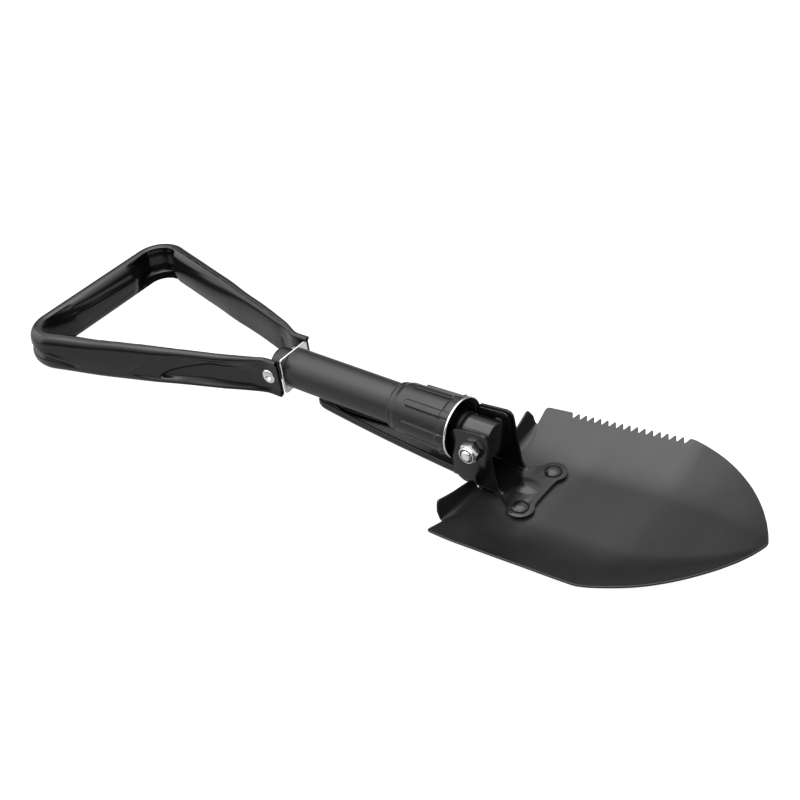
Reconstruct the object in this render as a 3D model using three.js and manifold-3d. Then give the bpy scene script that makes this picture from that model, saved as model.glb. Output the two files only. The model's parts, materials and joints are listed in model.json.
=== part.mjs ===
// Folding camp shovel: dished blade, folding pick, lock collar and a sprung D-handle
// bent from one tube.  Millimetres, +Z up.
//
// The shaft lies along X: the handle is at -X, the blade at +X, and the hollow of the
// blade faces +Z; left is +Y.  Every dimension is measured from the hinge bolt, which
// crosses the shaft axis.  The whole group is then set on its frame origin, the middle
// of the object's footprint at its lowest point.
import * as THREE from "three";
import { mergeVertices } from "three/addons/utils/BufferGeometryUtils.js";
import Module from "manifold-3d";

const wasm = await Module();
wasm.setup();

// ---------------------------------------------------------------- shared dimensions
const HINGE = { x: 95.75, y: 0.0, z: 36.35 }; // hinge bolt from the frame origin
const SLIP = 0.3;      // radial clearance round fixed parts
const RUN = 0.35;      // radial clearance round parts that turn
const CUT_REACH = 40;  // half length of a cutter that goes right through

const TUBE_R = 15.0;
const PIN_R = 2.5, PIN_X = -46.0;
const BOLT_R = 4.0;
const PLATE_BACK = -170.6, PLATE_T = 1.5; // stop plate on the rear of the shaft
const ROD_R = 3.0;

const EAR_OUT = 16.3;  // outer face of the bracket ears
const FLOOR_Z = -33.3; // upper face of the blade's flat floor
const SHEET = 1.5;     // blade thickness
const RIVET_X = 38.0, RIVET_Y = 20.7, RIVET_R = 3.6;

const PIVOT_X = -180.4, PIVOT_R = 4.8;
const ARM_Y = 17.0;    // centre of each flattened handle arm
const ARM_FLAT_T = 3.2;

// ---------------------------------------------------------------- materials
const GLOSS_BLACK = {
  name: "gloss_black_paint", color: 0x0b0b0c, roughness: 0.28, metalness: 0.1,
};
const SATIN_BLACK = {
  name: "satin_black_paint", color: 0x161617, roughness: 0.5, metalness: 0.1,
};
const TUBE_BLACK = {
  name: "tube_black_paint", color: 0x141414, roughness: 0.42, metalness: 0.15,
};
const PLASTIC = { name: "black_plastic", color: 0x191919, roughness: 0.5, metalness: 0.0 };
const ZINC = { name: "zinc_plate", color: 0xcfd2d4, roughness: 0.28, metalness: 1.0 };
const STEEL = { name: "plain_steel", color: 0x9a9b9d, roughness: 0.4, metalness: 1.0 };
const NYLON = { name: "nylon", color: 0xd9d8d2, roughness: 0.45, metalness: 0.0 };

// ---------------------------------------------------------------- meshes and solids
const vec3 = (x, y, z) => new THREE.Vector3(x, y, z);

// Keeps only positions, joins shared corners, drops empty triangles and turns the
// faces outwards.
function tidy(geometry) {
  const loose = geometry.index ? geometry.toNonIndexed() : geometry;
  const bare = new THREE.BufferGeometry();
  bare.setAttribute("position", loose.getAttribute("position"));
  const merged = mergeVertices(bare, 1e-4);
  const position = merged.attributes.position;
  const corner = (index) => vec3(0, 0, 0).fromBufferAttribute(position, index);
  const all = merged.index.array;
  const kept = [];
  let volume = 0;
  for (let i = 0; i < all.length; i += 3) {
    const [a, b, c] = [all[i], all[i + 1], all[i + 2]];
    if (a === b || b === c || a === c) continue;
    kept.push(a, b, c);
    volume += corner(a).dot(corner(b).cross(corner(c)));
  }
  if (volume < 0) {
    for (let i = 0; i < kept.length; i += 3) {
      [kept[i + 1], kept[i + 2]] = [kept[i + 2], kept[i + 1]];
    }
  }
  merged.setIndex(kept);
  merged.computeVertexNormals();
  return merged;
}

function solid(shape) {
  if (!shape.isBufferGeometry) return shape;
  const tidied = tidy(shape);
  return new wasm.Manifold(new wasm.Mesh({
    numProp: 3,
    vertProperties: tidied.attributes.position.array,
    triVerts: new Uint32Array(tidied.index.array),
  }));
}

function geometryOf(body) {
  const mesh = body.getMesh();
  const geometry = new THREE.BufferGeometry();
  const positions = new Float32Array(mesh.vertProperties);
  geometry.setAttribute("position", new THREE.BufferAttribute(positions, 3));
  geometry.setIndex(new THREE.BufferAttribute(new Uint32Array(mesh.triVerts), 1));
  geometry.computeVertexNormals();
  return geometry;
}

const joined = (...shapes) => shapes.map(solid).reduce((sum, next) => sum.add(next));
const cut = (base, ...tools) =>
  tools.map(solid).reduce((rest, tool) => rest.subtract(tool), solid(base));

// Adds a named mesh made from a geometry or a manifold solid.
function piece(name, shape, finish, group) {
  const geometry = shape.isBufferGeometry ? tidy(shape) : geometryOf(shape);
  const mesh = new THREE.Mesh(geometry, new THREE.MeshStandardMaterial(finish));
  mesh.name = name;
  group.add(mesh);
  return mesh;
}

// ---------------------------------------------------------------- shape helpers
// A turned piece; the closed profile is [distance along the axis, radius].
function turned(profile, axis, segments = 24) {
  let area = 0;
  profile.forEach(([along, radius], i) => {
    const [nextAlong, nextRadius] = profile[(i + 1) % profile.length];
    area += radius * nextAlong - nextRadius * along;
  });
  const ordered = area > 0 ? profile : [...profile].reverse();
  const points = ordered.map(([along, radius]) => new THREE.Vector2(radius, along));
  const onAxis = points[0].x === 0 && points[points.length - 1].x === 0;
  if (!onAxis) points.push(points[0].clone());
  const geometry = new THREE.LatheGeometry(points, segments);
  if (axis === "x") geometry.rotateZ(-Math.PI / 2);
  if (axis === "z") geometry.rotateX(Math.PI / 2);
  return geometry;
}

const shapeOf = (points) => new THREE.Shape(points.map(([a, b]) => new THREE.Vector2(a, b)));
const slab = (shape, depth) =>
  new THREE.ExtrudeGeometry(shape, { depth, bevelEnabled: false, curveSegments: 10 });
const slabXY = (shape, from, to) => slab(shape, to - from).translate(0, 0, from);
const slabXZ = (shape, from, to) =>
  slab(shape, to - from).rotateX(Math.PI / 2).translate(0, to, 0);
function slabYZ(shape, from, to) {
  const basis = new THREE.Matrix4().makeBasis(vec3(0, 1, 0), vec3(0, 0, 1), vec3(1, 0, 0));
  return slab(shape, to - from).applyMatrix4(basis).translate(from, 0, 0);
}

const rod = (radius, length, sides) => new THREE.CylinderGeometry(radius, radius, length, sides);
const rodX = (radius, from, to, sides) =>
  rod(radius, to - from, sides).rotateZ(Math.PI / 2).translate((from + to) / 2, 0, 0);
const rodY = (radius, from, to, x = 0, sides = 24) =>
  rod(radius, to - from, sides).translate(x, (from + to) / 2, 0);
const hexRadius = (acrossFlats) => acrossFlats / Math.sqrt(3);
const hexY = (acrossFlats, from, to) => rodY(hexRadius(acrossFlats), from, to, 0, 6);

// Cutters for holes right through a piece.
const holeY = (radius, x = 0) => rodY(radius, -CUT_REACH, CUT_REACH, x);
const holeZ = (radius, x, y = 0) =>
  rod(radius, 2 * CUT_REACH, 24).rotateX(Math.PI / 2).translate(x, y, 0);

// Straight-line lookup of a column, held level beyond both ends of the table.
function lookUp(rows, x, column) {
  if (x <= rows[0][0]) return rows[0][column];
  for (let i = 1; i < rows.length; i++) {
    const [before, after] = [rows[i - 1], rows[i]];
    if (x <= after[0]) {
      const share = (x - before[0]) / (after[0] - before[0]);
      return before[column] + share * (after[column] - before[column]);
    }
  }
  return rows[rows.length - 1][column];
}

function indexed(points, triangles) {
  const geometry = new THREE.BufferGeometry().setFromPoints(points);
  geometry.setIndex(triangles);
  return geometry;
}

// Two triangles, split along the diagonal from a to c.
const quad = (a, b, c, d) => [a, b, c, a, c, d];

// A closed skin over rings of points, capped at both ends with fans.
function skin(rings) {
  const count = rings[0].length;
  const triangles = [];
  for (let i = 0; i + 1 < rings.length; i++) {
    for (let j = 0; j < count; j++) {
      const here = i * count + j;
      const beside = i * count + ((j + 1) % count);
      triangles.push(...quad(here, beside, beside + count, here + count));
    }
  }
  const last = (rings.length - 1) * count;
  for (let j = 1; j + 1 < count; j++) {
    triangles.push(0, j + 1, j);
    triangles.push(last, last + j, last + j + 1);
  }
  return indexed(rings.flat(), triangles);
}

// ---------------------------------------------------------------- groups
const shovel = new THREE.Group();
shovel.name = "camp_shovel";
shovel.position.set(HINGE.x, HINGE.y, HINGE.z);
const shaft = new THREE.Group();
const head = new THREE.Group();
const pickArm = new THREE.Group();
const lock = new THREE.Group();
const draw = new THREE.Group();
const grip = new THREE.Group();
shovel.add(shaft, head, pickArm, lock, draw, grip);

// ---------------------------------------------------------------- shaft tube
const TUBE_WALL = 1.6, TUBE_FRONT = -24.0, TUBE_BACK = -168.9;
const TUBE_BORE = TUBE_R - TUBE_WALL;
piece("shaft_tube", cut(
  turned([
    [TUBE_BACK, TUBE_R], [TUBE_FRONT, TUBE_R], [TUBE_FRONT, TUBE_BORE], [TUBE_BACK, TUBE_BORE],
  ], "x", 32),
  holeZ(PIN_R + SLIP, PIN_X)), TUBE_BLACK, shaft);

// ---------------------------------------------------------------- hinge plug
// Solid turned plug: its root is pinned in the tube, its nose is the hinge tongue.
const PLUG_R = 12.4, PLUG_FRONT = 8.5, PLUG_ROOT_R = 13.2, PLUG_ROOT = -60.0;
const PLUG_CHAMFER = 0.8; // also the depth of the groove round the nose
const BUSH_R = 5.4, BUSH_HALF = 12.5;
const PIN_HALF = 14.5, PIN_CHAMFER = 0.5;

piece("hinge_plug", cut(
  turned([
    [PLUG_ROOT, 0], [PLUG_ROOT, PLUG_ROOT_R - 1], [PLUG_ROOT + 1, PLUG_ROOT_R],
    [TUBE_FRONT - 0.5, PLUG_ROOT_R], [TUBE_FRONT + 1.5, PLUG_R],
    [-16.4, PLUG_R], [-15.9, PLUG_R - PLUG_CHAMFER],
    [-15.1, PLUG_R - PLUG_CHAMFER], [-14.6, PLUG_R],
    [PLUG_FRONT - PLUG_CHAMFER, PLUG_R], [PLUG_FRONT, PLUG_R - PLUG_CHAMFER], [PLUG_FRONT, 0],
  ], "x", 28),
  holeY(BUSH_R + SLIP), holeZ(PIN_R + SLIP, PIN_X)), GLOSS_BLACK, shaft);

piece("plug_pin", turned([
  [-PIN_HALF, 0], [-PIN_HALF, PIN_R - PIN_CHAMFER], [-PIN_HALF + PIN_CHAMFER, PIN_R],
  [PIN_HALF - PIN_CHAMFER, PIN_R], [PIN_HALF, PIN_R - PIN_CHAMFER], [PIN_HALF, 0],
], "z", 16), STEEL, shaft).position.x = PIN_X;

piece("hinge_bush", turned([
  [-BUSH_HALF, BUSH_R], [BUSH_HALF, BUSH_R],
  [BUSH_HALF, BOLT_R + RUN], [-BUSH_HALF, BOLT_R + RUN],
], "y"), STEEL, shaft);

// ---------------------------------------------------------------- hinge bolt and nut
// M8 bolt with its head on the left (+Y) and its nut on the right.
const HEX_AF = 13.0, HEAD_T = 5.3, NUT_T = 8.0;
const HEAD_IN = EAR_OUT + 0.15; // small gap to the ear
const NUT_IN = -HEAD_IN, NUT_OUT = NUT_IN - NUT_T;
const BOLT_TIP = NUT_OUT - 0.9, BOLT_CHAMFER = 0.7;

piece("hinge_bolt", joined(
  hexY(HEX_AF, HEAD_IN, HEAD_IN + HEAD_T),
  turned([
    [BOLT_TIP, 0], [BOLT_TIP, BOLT_R - BOLT_CHAMFER], [BOLT_TIP + BOLT_CHAMFER, BOLT_R],
    [HEAD_IN + 1, BOLT_R], [HEAD_IN + 1, 0],
  ], "y")), ZINC, shaft);

// Hexagon with a round outer crown, recessed for the insert.
const crown = turned([
  [NUT_OUT, 0], [NUT_OUT, 5.0], [NUT_OUT, 5.4], [NUT_OUT + 0.9, 6.2],
  [NUT_OUT + 2.6, 6.3], [NUT_OUT + 2.6, 0],
], "y");
piece("hinge_nut", cut(
  joined(hexY(HEX_AF, NUT_OUT + 2.2, NUT_IN), crown),
  holeY(BOLT_R + 0.2), rodY(5.2, NUT_OUT - 1, NUT_OUT + 2.0)), ZINC, shaft);

const INSERT_R = 5.0, INSERT_BORE = BOLT_R + 0.15;
piece("nut_insert", turned([
  [NUT_OUT + 0.3, INSERT_R], [NUT_OUT + 1.8, INSERT_R],
  [NUT_OUT + 1.8, INSERT_BORE], [NUT_OUT + 0.3, INSERT_BORE],
], "y"), NYLON, shaft);

// ---------------------------------------------------------------- end plate
// Square stop plate with rounded corners on the rear end of the tube.
const PLATE_HALF = 14.8, PLATE_CORNER = 3.0;
const plate = new THREE.Shape();
[[1, -1], [1, 1], [-1, 1], [-1, -1]].forEach(([sideY, sideZ], i) => {
  const centre = PLATE_HALF - PLATE_CORNER;
  const start = ((i - 1) * Math.PI) / 2;
  plate.absarc(sideY * centre, sideZ * centre, PLATE_CORNER, start, start + Math.PI / 2);
});
piece("end_plate", cut(
  slabYZ(plate, PLATE_BACK, PLATE_BACK + PLATE_T),
  rodX(ROD_R + 0.5, PLATE_BACK - 5, PLATE_BACK + 5, 24)), ZINC, shaft);

// ---------------------------------------------------------------- lock collar
const COLLAR_BACK = -73.0, COLLAR_FRONT = -20.7, COLLAR_BORE = 15.4;
const FLANGE_R = 20.9, FLANGE_BACK = COLLAR_FRONT - 6.2;
const BODY_BACK = COLLAR_BACK + 7.2, BODY_R_BACK = 18.4, BODY_R_FRONT = 19.6;
const RIBS = 8, RIB_W = 3.6, RIB_H = 1.1, RIB_DEPTH = 3.0, RIB_BACK = -59.0;

// One rib, round at its back end, with its outer face parallel to the flared body.
function collarRib(angle) {
  const halfW = RIB_W / 2, front = FLANGE_BACK + 0.5, arcX = RIB_BACK + halfW;
  const outline = new THREE.Shape();
  outline.moveTo(front, -halfW).lineTo(front, halfW).lineTo(arcX, halfW);
  outline.absarc(arcX, 0, halfW, Math.PI / 2, Math.PI * 1.5);
  const lean = Math.atan2(BODY_R_FRONT - BODY_R_BACK, FLANGE_BACK - BODY_BACK);
  const body = [[BODY_BACK, BODY_R_BACK], [FLANGE_BACK, BODY_R_FRONT]];
  return slab(outline, RIB_DEPTH)
    .translate(-RIB_BACK, 0, 0)
    .rotateY(-lean)
    .translate(RIB_BACK, 0, lookUp(body, RIB_BACK, 1) - RIB_DEPTH + RIB_H)
    .rotateX(angle);
}

let collar = solid(turned([
  [COLLAR_BACK, COLLAR_BORE], [COLLAR_BACK, 16.6], [COLLAR_BACK + 1.6, 17.3],
  [COLLAR_BACK + 4.4, 17.4], [BODY_BACK, BODY_R_BACK], [FLANGE_BACK - 1.6, BODY_R_FRONT],
  [FLANGE_BACK, FLANGE_R - 0.3], [COLLAR_FRONT - 0.8, FLANGE_R],
  [COLLAR_FRONT, FLANGE_R - 0.6], [COLLAR_FRONT, COLLAR_BORE],
], "x", 40));
for (let i = 0; i < RIBS; i++) {
  collar = collar.add(solid(collarRib((i * Math.PI * 2) / RIBS + Math.PI / RIBS)));
}
piece("lock_collar", collar, PLASTIC, lock);

const RING_FRONT = -18.9, RING_BACK = RING_FRONT - 1.6, RING_R = 22.0, RING_BORE = 15.6;
piece("lock_ring", turned([
  [RING_BACK, RING_BORE], [RING_BACK, RING_R - 0.3], [RING_BACK + 0.4, RING_R],
  [RING_FRONT - 0.4, RING_R], [RING_FRONT, RING_R - 0.4], [RING_FRONT, RING_BORE],
], "x", 40), ZINC, lock);

// ---------------------------------------------------------------- blade bracket
const EAR_T = 1.8, EAR_FRONT_TOP = 12.7, EAR_FRONT_FOOT = 15.7, EAR_BACK = -17.0;
const EAR_TOP = 14.4;
const SHOULDER_Z = 12.1; // upper end of the sloping back corner
const SWEEP_R = 18.4;    // the ends of that corner lie on this circle round the bolt
const FOOT_T = 2.5, FOOT_BACK = -9.0, FOOT_WAIST_X = 13.0, FOOT_NOSE = 45.4;
const LOBE_R = 9.8;
const JOINT_GAP = 0.05;  // between the blade, the bracket and the rivet heads
const FOOT_UNDER = FLOOR_Z + JOINT_GAP;

const earBackTop = Math.sqrt(SWEEP_R ** 2 - EAR_BACK ** 2);
const shoulderX = -Math.sqrt(SWEEP_R ** 2 - SHOULDER_Z ** 2);
// Ear in side view, x and z, from its upper back round the foot to the top.
const ear = shapeOf([
  [EAR_BACK, earBackTop], [EAR_BACK - 0.6, -16.0], [-17.9, -20.6], [-17.4, -23.8],
  [-15.6, -27.0], [-12.8, -29.6], [-9.5, FOOT_UNDER],
  [EAR_FRONT_FOOT + 1.2, FOOT_UNDER], [EAR_FRONT_FOOT, FLOOR_Z + 5], [EAR_FRONT_TOP, 8.5],
  [EAR_FRONT_TOP - 0.2, 10.4], [EAR_FRONT_TOP - 1.2, 12.4], [EAR_FRONT_TOP - 2.8, 13.8],
  [EAR_FRONT_TOP - 5.0, EAR_TOP], [shoulderX, SHOULDER_Z],
  [(shoulderX + EAR_BACK) / 2 - 0.5, (SHOULDER_Z + earBackTop) / 2 + 0.25],
]);

// Foot in plan, with a round lobe about each rivet.
const LOBE_BACK_ANGLE = Math.PI * 0.82, LOBE_FRONT_ANGLE = 0.28;
const foot = new THREE.Shape();
foot.moveTo(FOOT_BACK, -EAR_OUT).lineTo(FOOT_WAIST_X, -EAR_OUT);
foot.lineTo(RIVET_X - 10.5, -RIVET_Y - 1.5);
foot.absarc(RIVET_X, -RIVET_Y, LOBE_R, -LOBE_BACK_ANGLE, LOBE_FRONT_ANGLE);
foot.lineTo(FOOT_NOSE, -6).lineTo(FOOT_NOSE, 6);
foot.absarc(RIVET_X, RIVET_Y, LOBE_R, -LOBE_FRONT_ANGLE, LOBE_BACK_ANGLE);
foot.lineTo(FOOT_WAIST_X, EAR_OUT).lineTo(FOOT_BACK, EAR_OUT);

const rivetHoles = [1, -1].map((side) => holeZ(RIVET_R + SLIP, RIVET_X, side * RIVET_Y));
piece("blade_bracket", cut(
  joined(
    slabXZ(ear, EAR_OUT - EAR_T, EAR_OUT), slabXZ(ear, -EAR_OUT, -EAR_OUT + EAR_T),
    slabXY(foot, FOOT_UNDER, FLOOR_Z + FOOT_T)),
  holeY(BOLT_R + RUN), ...rivetHoles), GLOSS_BLACK, head);

// Rivets with a domed head on the bracket and a flat head under the blade.
const RIVET_HEAD_R = 6.1, RIVET_HEAD_H = 2.6;
const rivetTop = FLOOR_Z + FOOT_T + JOINT_GAP, rivetUnder = FLOOR_Z - SHEET - JOINT_GAP;
for (const [sideName, side] of [["left", 1], ["right", -1]]) {
  piece("bracket_rivet_" + sideName, turned([
    [rivetUnder - 1.5, 0], [rivetUnder - 1.5, 3.6], [rivetUnder - 1.1, 4.7], [rivetUnder, 5.0],
    [rivetUnder, RIVET_R], [rivetTop, RIVET_R], [rivetTop, RIVET_HEAD_R],
    [rivetTop + 0.5, RIVET_HEAD_R], [rivetTop + 1.5, 4.4], [rivetTop + 2.2, 2.8],
    [rivetTop + RIVET_HEAD_H, 0],
  ], "z", 18), SATIN_BLACK, head).position.set(RIVET_X, side * RIVET_Y, 0);
}

// ---------------------------------------------------------------- blade
// x, half width, height of the edge
const BLADE_EDGE = [
  [0.4, 74.2, -25.2], [20, 75.5, -23.6], [40, 76.1, -21.6], [60, 76.7, -19.6],
  [80, 77.3, -17.5], [100, 78.0, -15.5], [112, 78.2, -14.3], [120, 76.4, -13.7],
  [128, 73.3, -12.9], [136, 69.7, -12.1], [144, 65.4, -11.4], [152, 60.2, -10.7],
  [160, 54.0, -9.9], [168, 46.9, -9.0], [176, 38.5, -8.2], [184, 28.7, -7.5],
  [190, 20.0, -7.0], [195, 10.5, -6.4], [198.5, 3.0, -5.4], [199.4, 0.0, -5.0],
];
// x, height of the flat floor
const BLADE_FLOOR = [
  [0, FLOOR_Z], [49, FLOOR_Z], [118, -26.9], [140, -22.6],
  [160, -17.6], [180, -11.9], [192, -8.0], [199.4, -5.0],
];
const FLAT_SHARE = 0.42; // share of the half width that is the flat floor
const DISH_POWER = 1.35; // how the sides curve up from the floor
const TEETH = {
  first: 23.2, pitch: 5.66, count: 15, depth: 4.0, end: 112.0,
  valleyHalf: 0.45, crestHalf: 0.35, // half lengths of the flats
};
// Grid over which the sheet is dished before it is trimmed to its outline.
const GRID_X = [
  -2, 14, 30, 49, 65, 83, 101, 118, 128, 136, 144, 152, 160, 168, 176, 184, 190, 195, 200.5,
];
const GRID_HALF_W = 84;
const GRID_SHARES = [0.06, 0.16, 0.27, 0.38, 0.48, 0.58, 0.67, 0.76, 0.86, 1.0];

const halfWidth = (x) => lookUp(BLADE_EDGE, x, 1);

function bladeTop(x, y) {
  const edge = lookUp(BLADE_EDGE, x, 2);
  const floor = lookUp(BLADE_FLOOR, x, 1);
  const share = Math.min(Math.abs(y) / Math.max(halfWidth(x), 3), 1.25);
  if (share <= FLAT_SHARE) return floor;
  return floor + (edge - floor) * Math.pow((share - FLAT_SHARE) / (1 - FLAT_SHARE), DISH_POWER);
}

function dishedSheet() {
  const shares = [...GRID_SHARES.map((share) => -share).reverse(), ...GRID_SHARES];
  const lastI = GRID_X.length - 1, lastJ = shares.length - 1;
  const points = [];
  for (const drop of [0, SHEET]) {
    for (const x of GRID_X) {
      for (const share of shares) {
        const y = share * GRID_HALF_W;
        points.push(vec3(x, y, bladeTop(x, y) - drop));
      }
    }
  }
  const top = (i, j) => i * shares.length + j;
  const under = (i, j) => GRID_X.length * shares.length + top(i, j);
  const triangles = [];
  const face = (...corners) => triangles.push(...quad(...corners));
  for (let i = 0; i < lastI; i++) {
    for (let j = 0; j < lastJ; j++) {
      face(top(i, j), top(i + 1, j), top(i + 1, j + 1), top(i, j + 1));
      face(under(i, j), under(i, j + 1), under(i + 1, j + 1), under(i + 1, j));
    }
    face(top(i, 0), under(i, 0), under(i + 1, 0), top(i + 1, 0));
    face(top(i, lastJ), top(i + 1, lastJ), under(i + 1, lastJ), under(i, lastJ));
  }
  for (let j = 0; j < lastJ; j++) {
    face(top(0, j), top(0, j + 1), under(0, j + 1), under(0, j));
    face(top(lastI, j), under(lastI, j), under(lastI, j + 1), top(lastI, j + 1));
  }
  return indexed(points, triangles);
}

// Plan outline: forward along the right edge, then back along the toothed left edge.
function bladePlan() {
  const right = BLADE_EDGE.map(([x, y]) => [x, -y]);
  const left = BLADE_EDGE.slice(0, -1).reverse();
  const teeth = [];
  for (let i = TEETH.count; i >= 0; i--) {
    const valley = TEETH.first + i * TEETH.pitch;
    const valleyY = halfWidth(valley) - TEETH.depth;
    teeth.push([valley + TEETH.valleyHalf, valleyY], [valley - TEETH.valleyHalf, valleyY]);
    if (i === 0) break;
    const crest = valley - TEETH.pitch / 2;
    const crestY = halfWidth(crest);
    teeth.push([crest + TEETH.crestHalf, crestY], [crest - TEETH.crestHalf, crestY]);
  }
  const ahead = left.filter(([x]) => x >= TEETH.end);
  const behind = left.filter(([x]) => x < TEETH.first);
  return shapeOf([...right, ...ahead, ...teeth, ...behind]);
}

// Upturned foot tread along the back edge, one half on each side of the bracket.
// distance from the centre line, top height
const TREAD = [[18.5, -29.6], [22, -24.6], [38, -21.2], [54.3, -17.0], [60.3, -27.4]];
const TREAD_FRONT = 2.0, TREAD_BACK = TREAD_FRONT - SHEET;
const TREAD_LEAN = 3.6;      // how far a full-height top leans back
const TREAD_FULL_HEIGHT = 9; // height from which the lean is full

function tread(side) {
  const rings = TREAD.map(([y, top]) => {
    const base = bladeTop(0.6, y) - SHEET + 0.1;
    const lean = TREAD_LEAN * Math.min(1, (top - base) / TREAD_FULL_HEIGHT);
    const ring = [
      vec3(TREAD_FRONT, side * y, base), vec3(TREAD_FRONT - lean, side * y, top),
      vec3(TREAD_BACK - lean, side * y, top), vec3(TREAD_BACK - 0.05, side * y, base),
    ];
    return side > 0 ? ring.reverse() : ring;
  });
  return skin(rings);
}

const trimmed = solid(dishedSheet()).intersect(solid(slabXY(bladePlan(), -60, 20)));
piece("blade", cut(joined(trimmed, tread(1), tread(-1)), ...rivetHoles), SATIN_BLACK, head);

// ---------------------------------------------------------------- pick
// A tapering channel whose cheeks run up to the bolt between the bracket's ears.
// From the tip forward to the root: x, half width, wall top, keel
const PICK = [
  [-150.5, 3.0, -21.2, -27.0], [-143, 4.0, -21.4, -28.6], [-125, 5.5, -22.2, -29.8],
  [-100, 7.6, -23.2, -30.8], [-75, 9.7, -24.0, -31.4], [-45, 12.0, -24.2, -31.8],
  [-20, 13.9, -24.2, -31.8], [-12.5, 14.2, -24.2, -31.6],
];
const PICK_WALL = 1.8, PICK_FLOOR = 2.4, PICK_BEVEL = 2.6;
const PICK_TIP_SOLID = 7; // length of the tip left solid
const CHEEK_IN = 12.7, CHEEK_OUT = 14.2;

const pickOuter = PICK.map(([x, halfW, top, keel]) => {
  const keelHalf = halfW - PICK_BEVEL * Math.min(1, halfW / 6);
  return [
    vec3(x, -halfW, top), vec3(x, -halfW, keel + PICK_BEVEL), vec3(x, -keelHalf, keel),
    vec3(x, keelHalf, keel), vec3(x, halfW, keel + PICK_BEVEL), vec3(x, halfW, top),
  ];
});
// The hollow overshoots the wall tops and the open root.
const pickHollow = PICK.map(([station, halfW, wallTop, keel], i) => {
  const inner = Math.max(0.5, halfW - PICK_WALL);
  const floor = keel + PICK_FLOOR, top = wallTop + 4;
  let x = station;
  if (i === 0) x += PICK_TIP_SOLID;
  if (i === PICK.length - 1) x += 2;
  return [
    vec3(x, -inner, top), vec3(x, -inner, floor + 1), vec3(x, -inner * 0.6, floor),
    vec3(x, inner * 0.6, floor), vec3(x, inner, floor + 1), vec3(x, inner, top),
  ];
});
// Cheek in side view: x, z
const cheek = shapeOf([
  [-13.4, 11.2], [-13.9, 10.2], [-13.9, -8], [-16.6, -18.6], [-20.0, -23.2],
  [-20.0, -30.0], [-12.6, -30.0], [-9.0, -26.0], [-1.0, -16.0], [8.2, -9.0],
  [11.0, -3.0], [11.4, 5.0], [10.9, 9.0], [9.4, 11.8], [6.8, 13.0],
]);
piece("pick", cut(
  joined(
    cut(skin(pickOuter), skin(pickHollow)),
    slabXZ(cheek, CHEEK_IN, CHEEK_OUT), slabXZ(cheek, -CHEEK_OUT, -CHEEK_IN)),
  holeY(BOLT_R + RUN)), GLOSS_BLACK, pickArm);

// ---------------------------------------------------------------- draw gear
// Rod, washer, nut and spring inside the rear of the shaft.
const ROD_BACK = -173.2, ROD_FRONT = -118.0;
const SEAT_X = -127.0, SEAT_R = 12.0, SEAT_T = 1.6;
const ROD_NUT_BACK = SEAT_X + 1.8, ROD_NUT_T = 5, ROD_NUT_AF = 10;
piece("draw_rod", turned([
  [ROD_BACK, 0], [ROD_BACK, ROD_R], [ROD_FRONT - 0.6, ROD_R],
  [ROD_FRONT, ROD_R - 0.6], [ROD_FRONT, 0],
], "x", 16), STEEL, draw);
piece("spring_seat", turned([
  [SEAT_X, ROD_R + SLIP], [SEAT_X, SEAT_R],
  [SEAT_X + SEAT_T, SEAT_R], [SEAT_X + SEAT_T, ROD_R + SLIP],
], "x"), STEEL, draw);
const rodNutFront = ROD_NUT_BACK + ROD_NUT_T;
piece("rod_nut", cut(
  rodX(hexRadius(ROD_NUT_AF), ROD_NUT_BACK, rodNutFront, 6),
  rodX(ROD_R + 0.2, ROD_NUT_BACK - 2.5, rodNutFront + 2.5, 16)), STEEL, draw);

const SPRING_R = 8.2, WIRE_R = 0.9, COILS = 8;
const SPRING_BACK = PLATE_BACK + PLATE_T + WIRE_R + 0.3;
const SPRING_FRONT = SEAT_X - WIRE_R - 0.3;
class Helix extends THREE.Curve {
  getPoint(t, target = vec3(0, 0, 0)) {
    const angle = t * COILS * 2 * Math.PI;
    return target.set(
      SPRING_BACK + (SPRING_FRONT - SPRING_BACK) * t,
      SPRING_R * Math.cos(angle),
      SPRING_R * Math.sin(angle));
  }
}
const wire = new THREE.Shape().absarc(0, 0, WIRE_R, 0, 2 * Math.PI, false);
piece("draw_spring", new THREE.ExtrudeGeometry(wire, {
  steps: COILS * 10, curveSegments: 3, bevelEnabled: false, extrudePath: new Helix(),
}), STEEL, draw);

// ---------------------------------------------------------------- handle pivot
// Round block that carries the pivot rivet; its front end bears on the stop plate.
const BLOCK_R = 12.0, BLOCK_BACK = -186.6, BLOCK_FRONT = -170.9;
const SPACER_IN = 10.8, SPACER_OUT = ARM_Y - ARM_FLAT_T / 2 - SLIP, SPACER_R = 6.3;
const recessIn = SPACER_IN - 0.2, recessR = SPACER_R + SLIP;
piece("pivot_block", cut(
  turned([
    [BLOCK_BACK, 0], [BLOCK_BACK, BLOCK_R - 1.8], [BLOCK_BACK + 0.6, BLOCK_R - 0.7],
    [BLOCK_BACK + 1.8, BLOCK_R], [BLOCK_FRONT - 0.5, BLOCK_R],
    [BLOCK_FRONT, BLOCK_R - 0.5], [BLOCK_FRONT, 0],
  ], "x", 32),
  holeY(PIVOT_R + SLIP, PIVOT_X),
  rodY(recessR, recessIn, CUT_REACH, PIVOT_X), rodY(recessR, -CUT_REACH, -recessIn, PIVOT_X),
  rodX(ROD_R + 0.2, BLOCK_FRONT - 2.6, BLOCK_FRONT + 3.4, 16)), GLOSS_BLACK, draw);

for (const [sideName, side] of [["left", 1], ["right", -1]]) {
  piece("pivot_spacer_" + sideName, turned([
    [side * SPACER_IN, SPACER_R], [side * SPACER_OUT, SPACER_R],
    [side * SPACER_OUT, PIVOT_R + SLIP], [side * SPACER_IN, PIVOT_R + SLIP],
  ], "y"), STEEL, draw).position.x = PIVOT_X;
}

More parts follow.
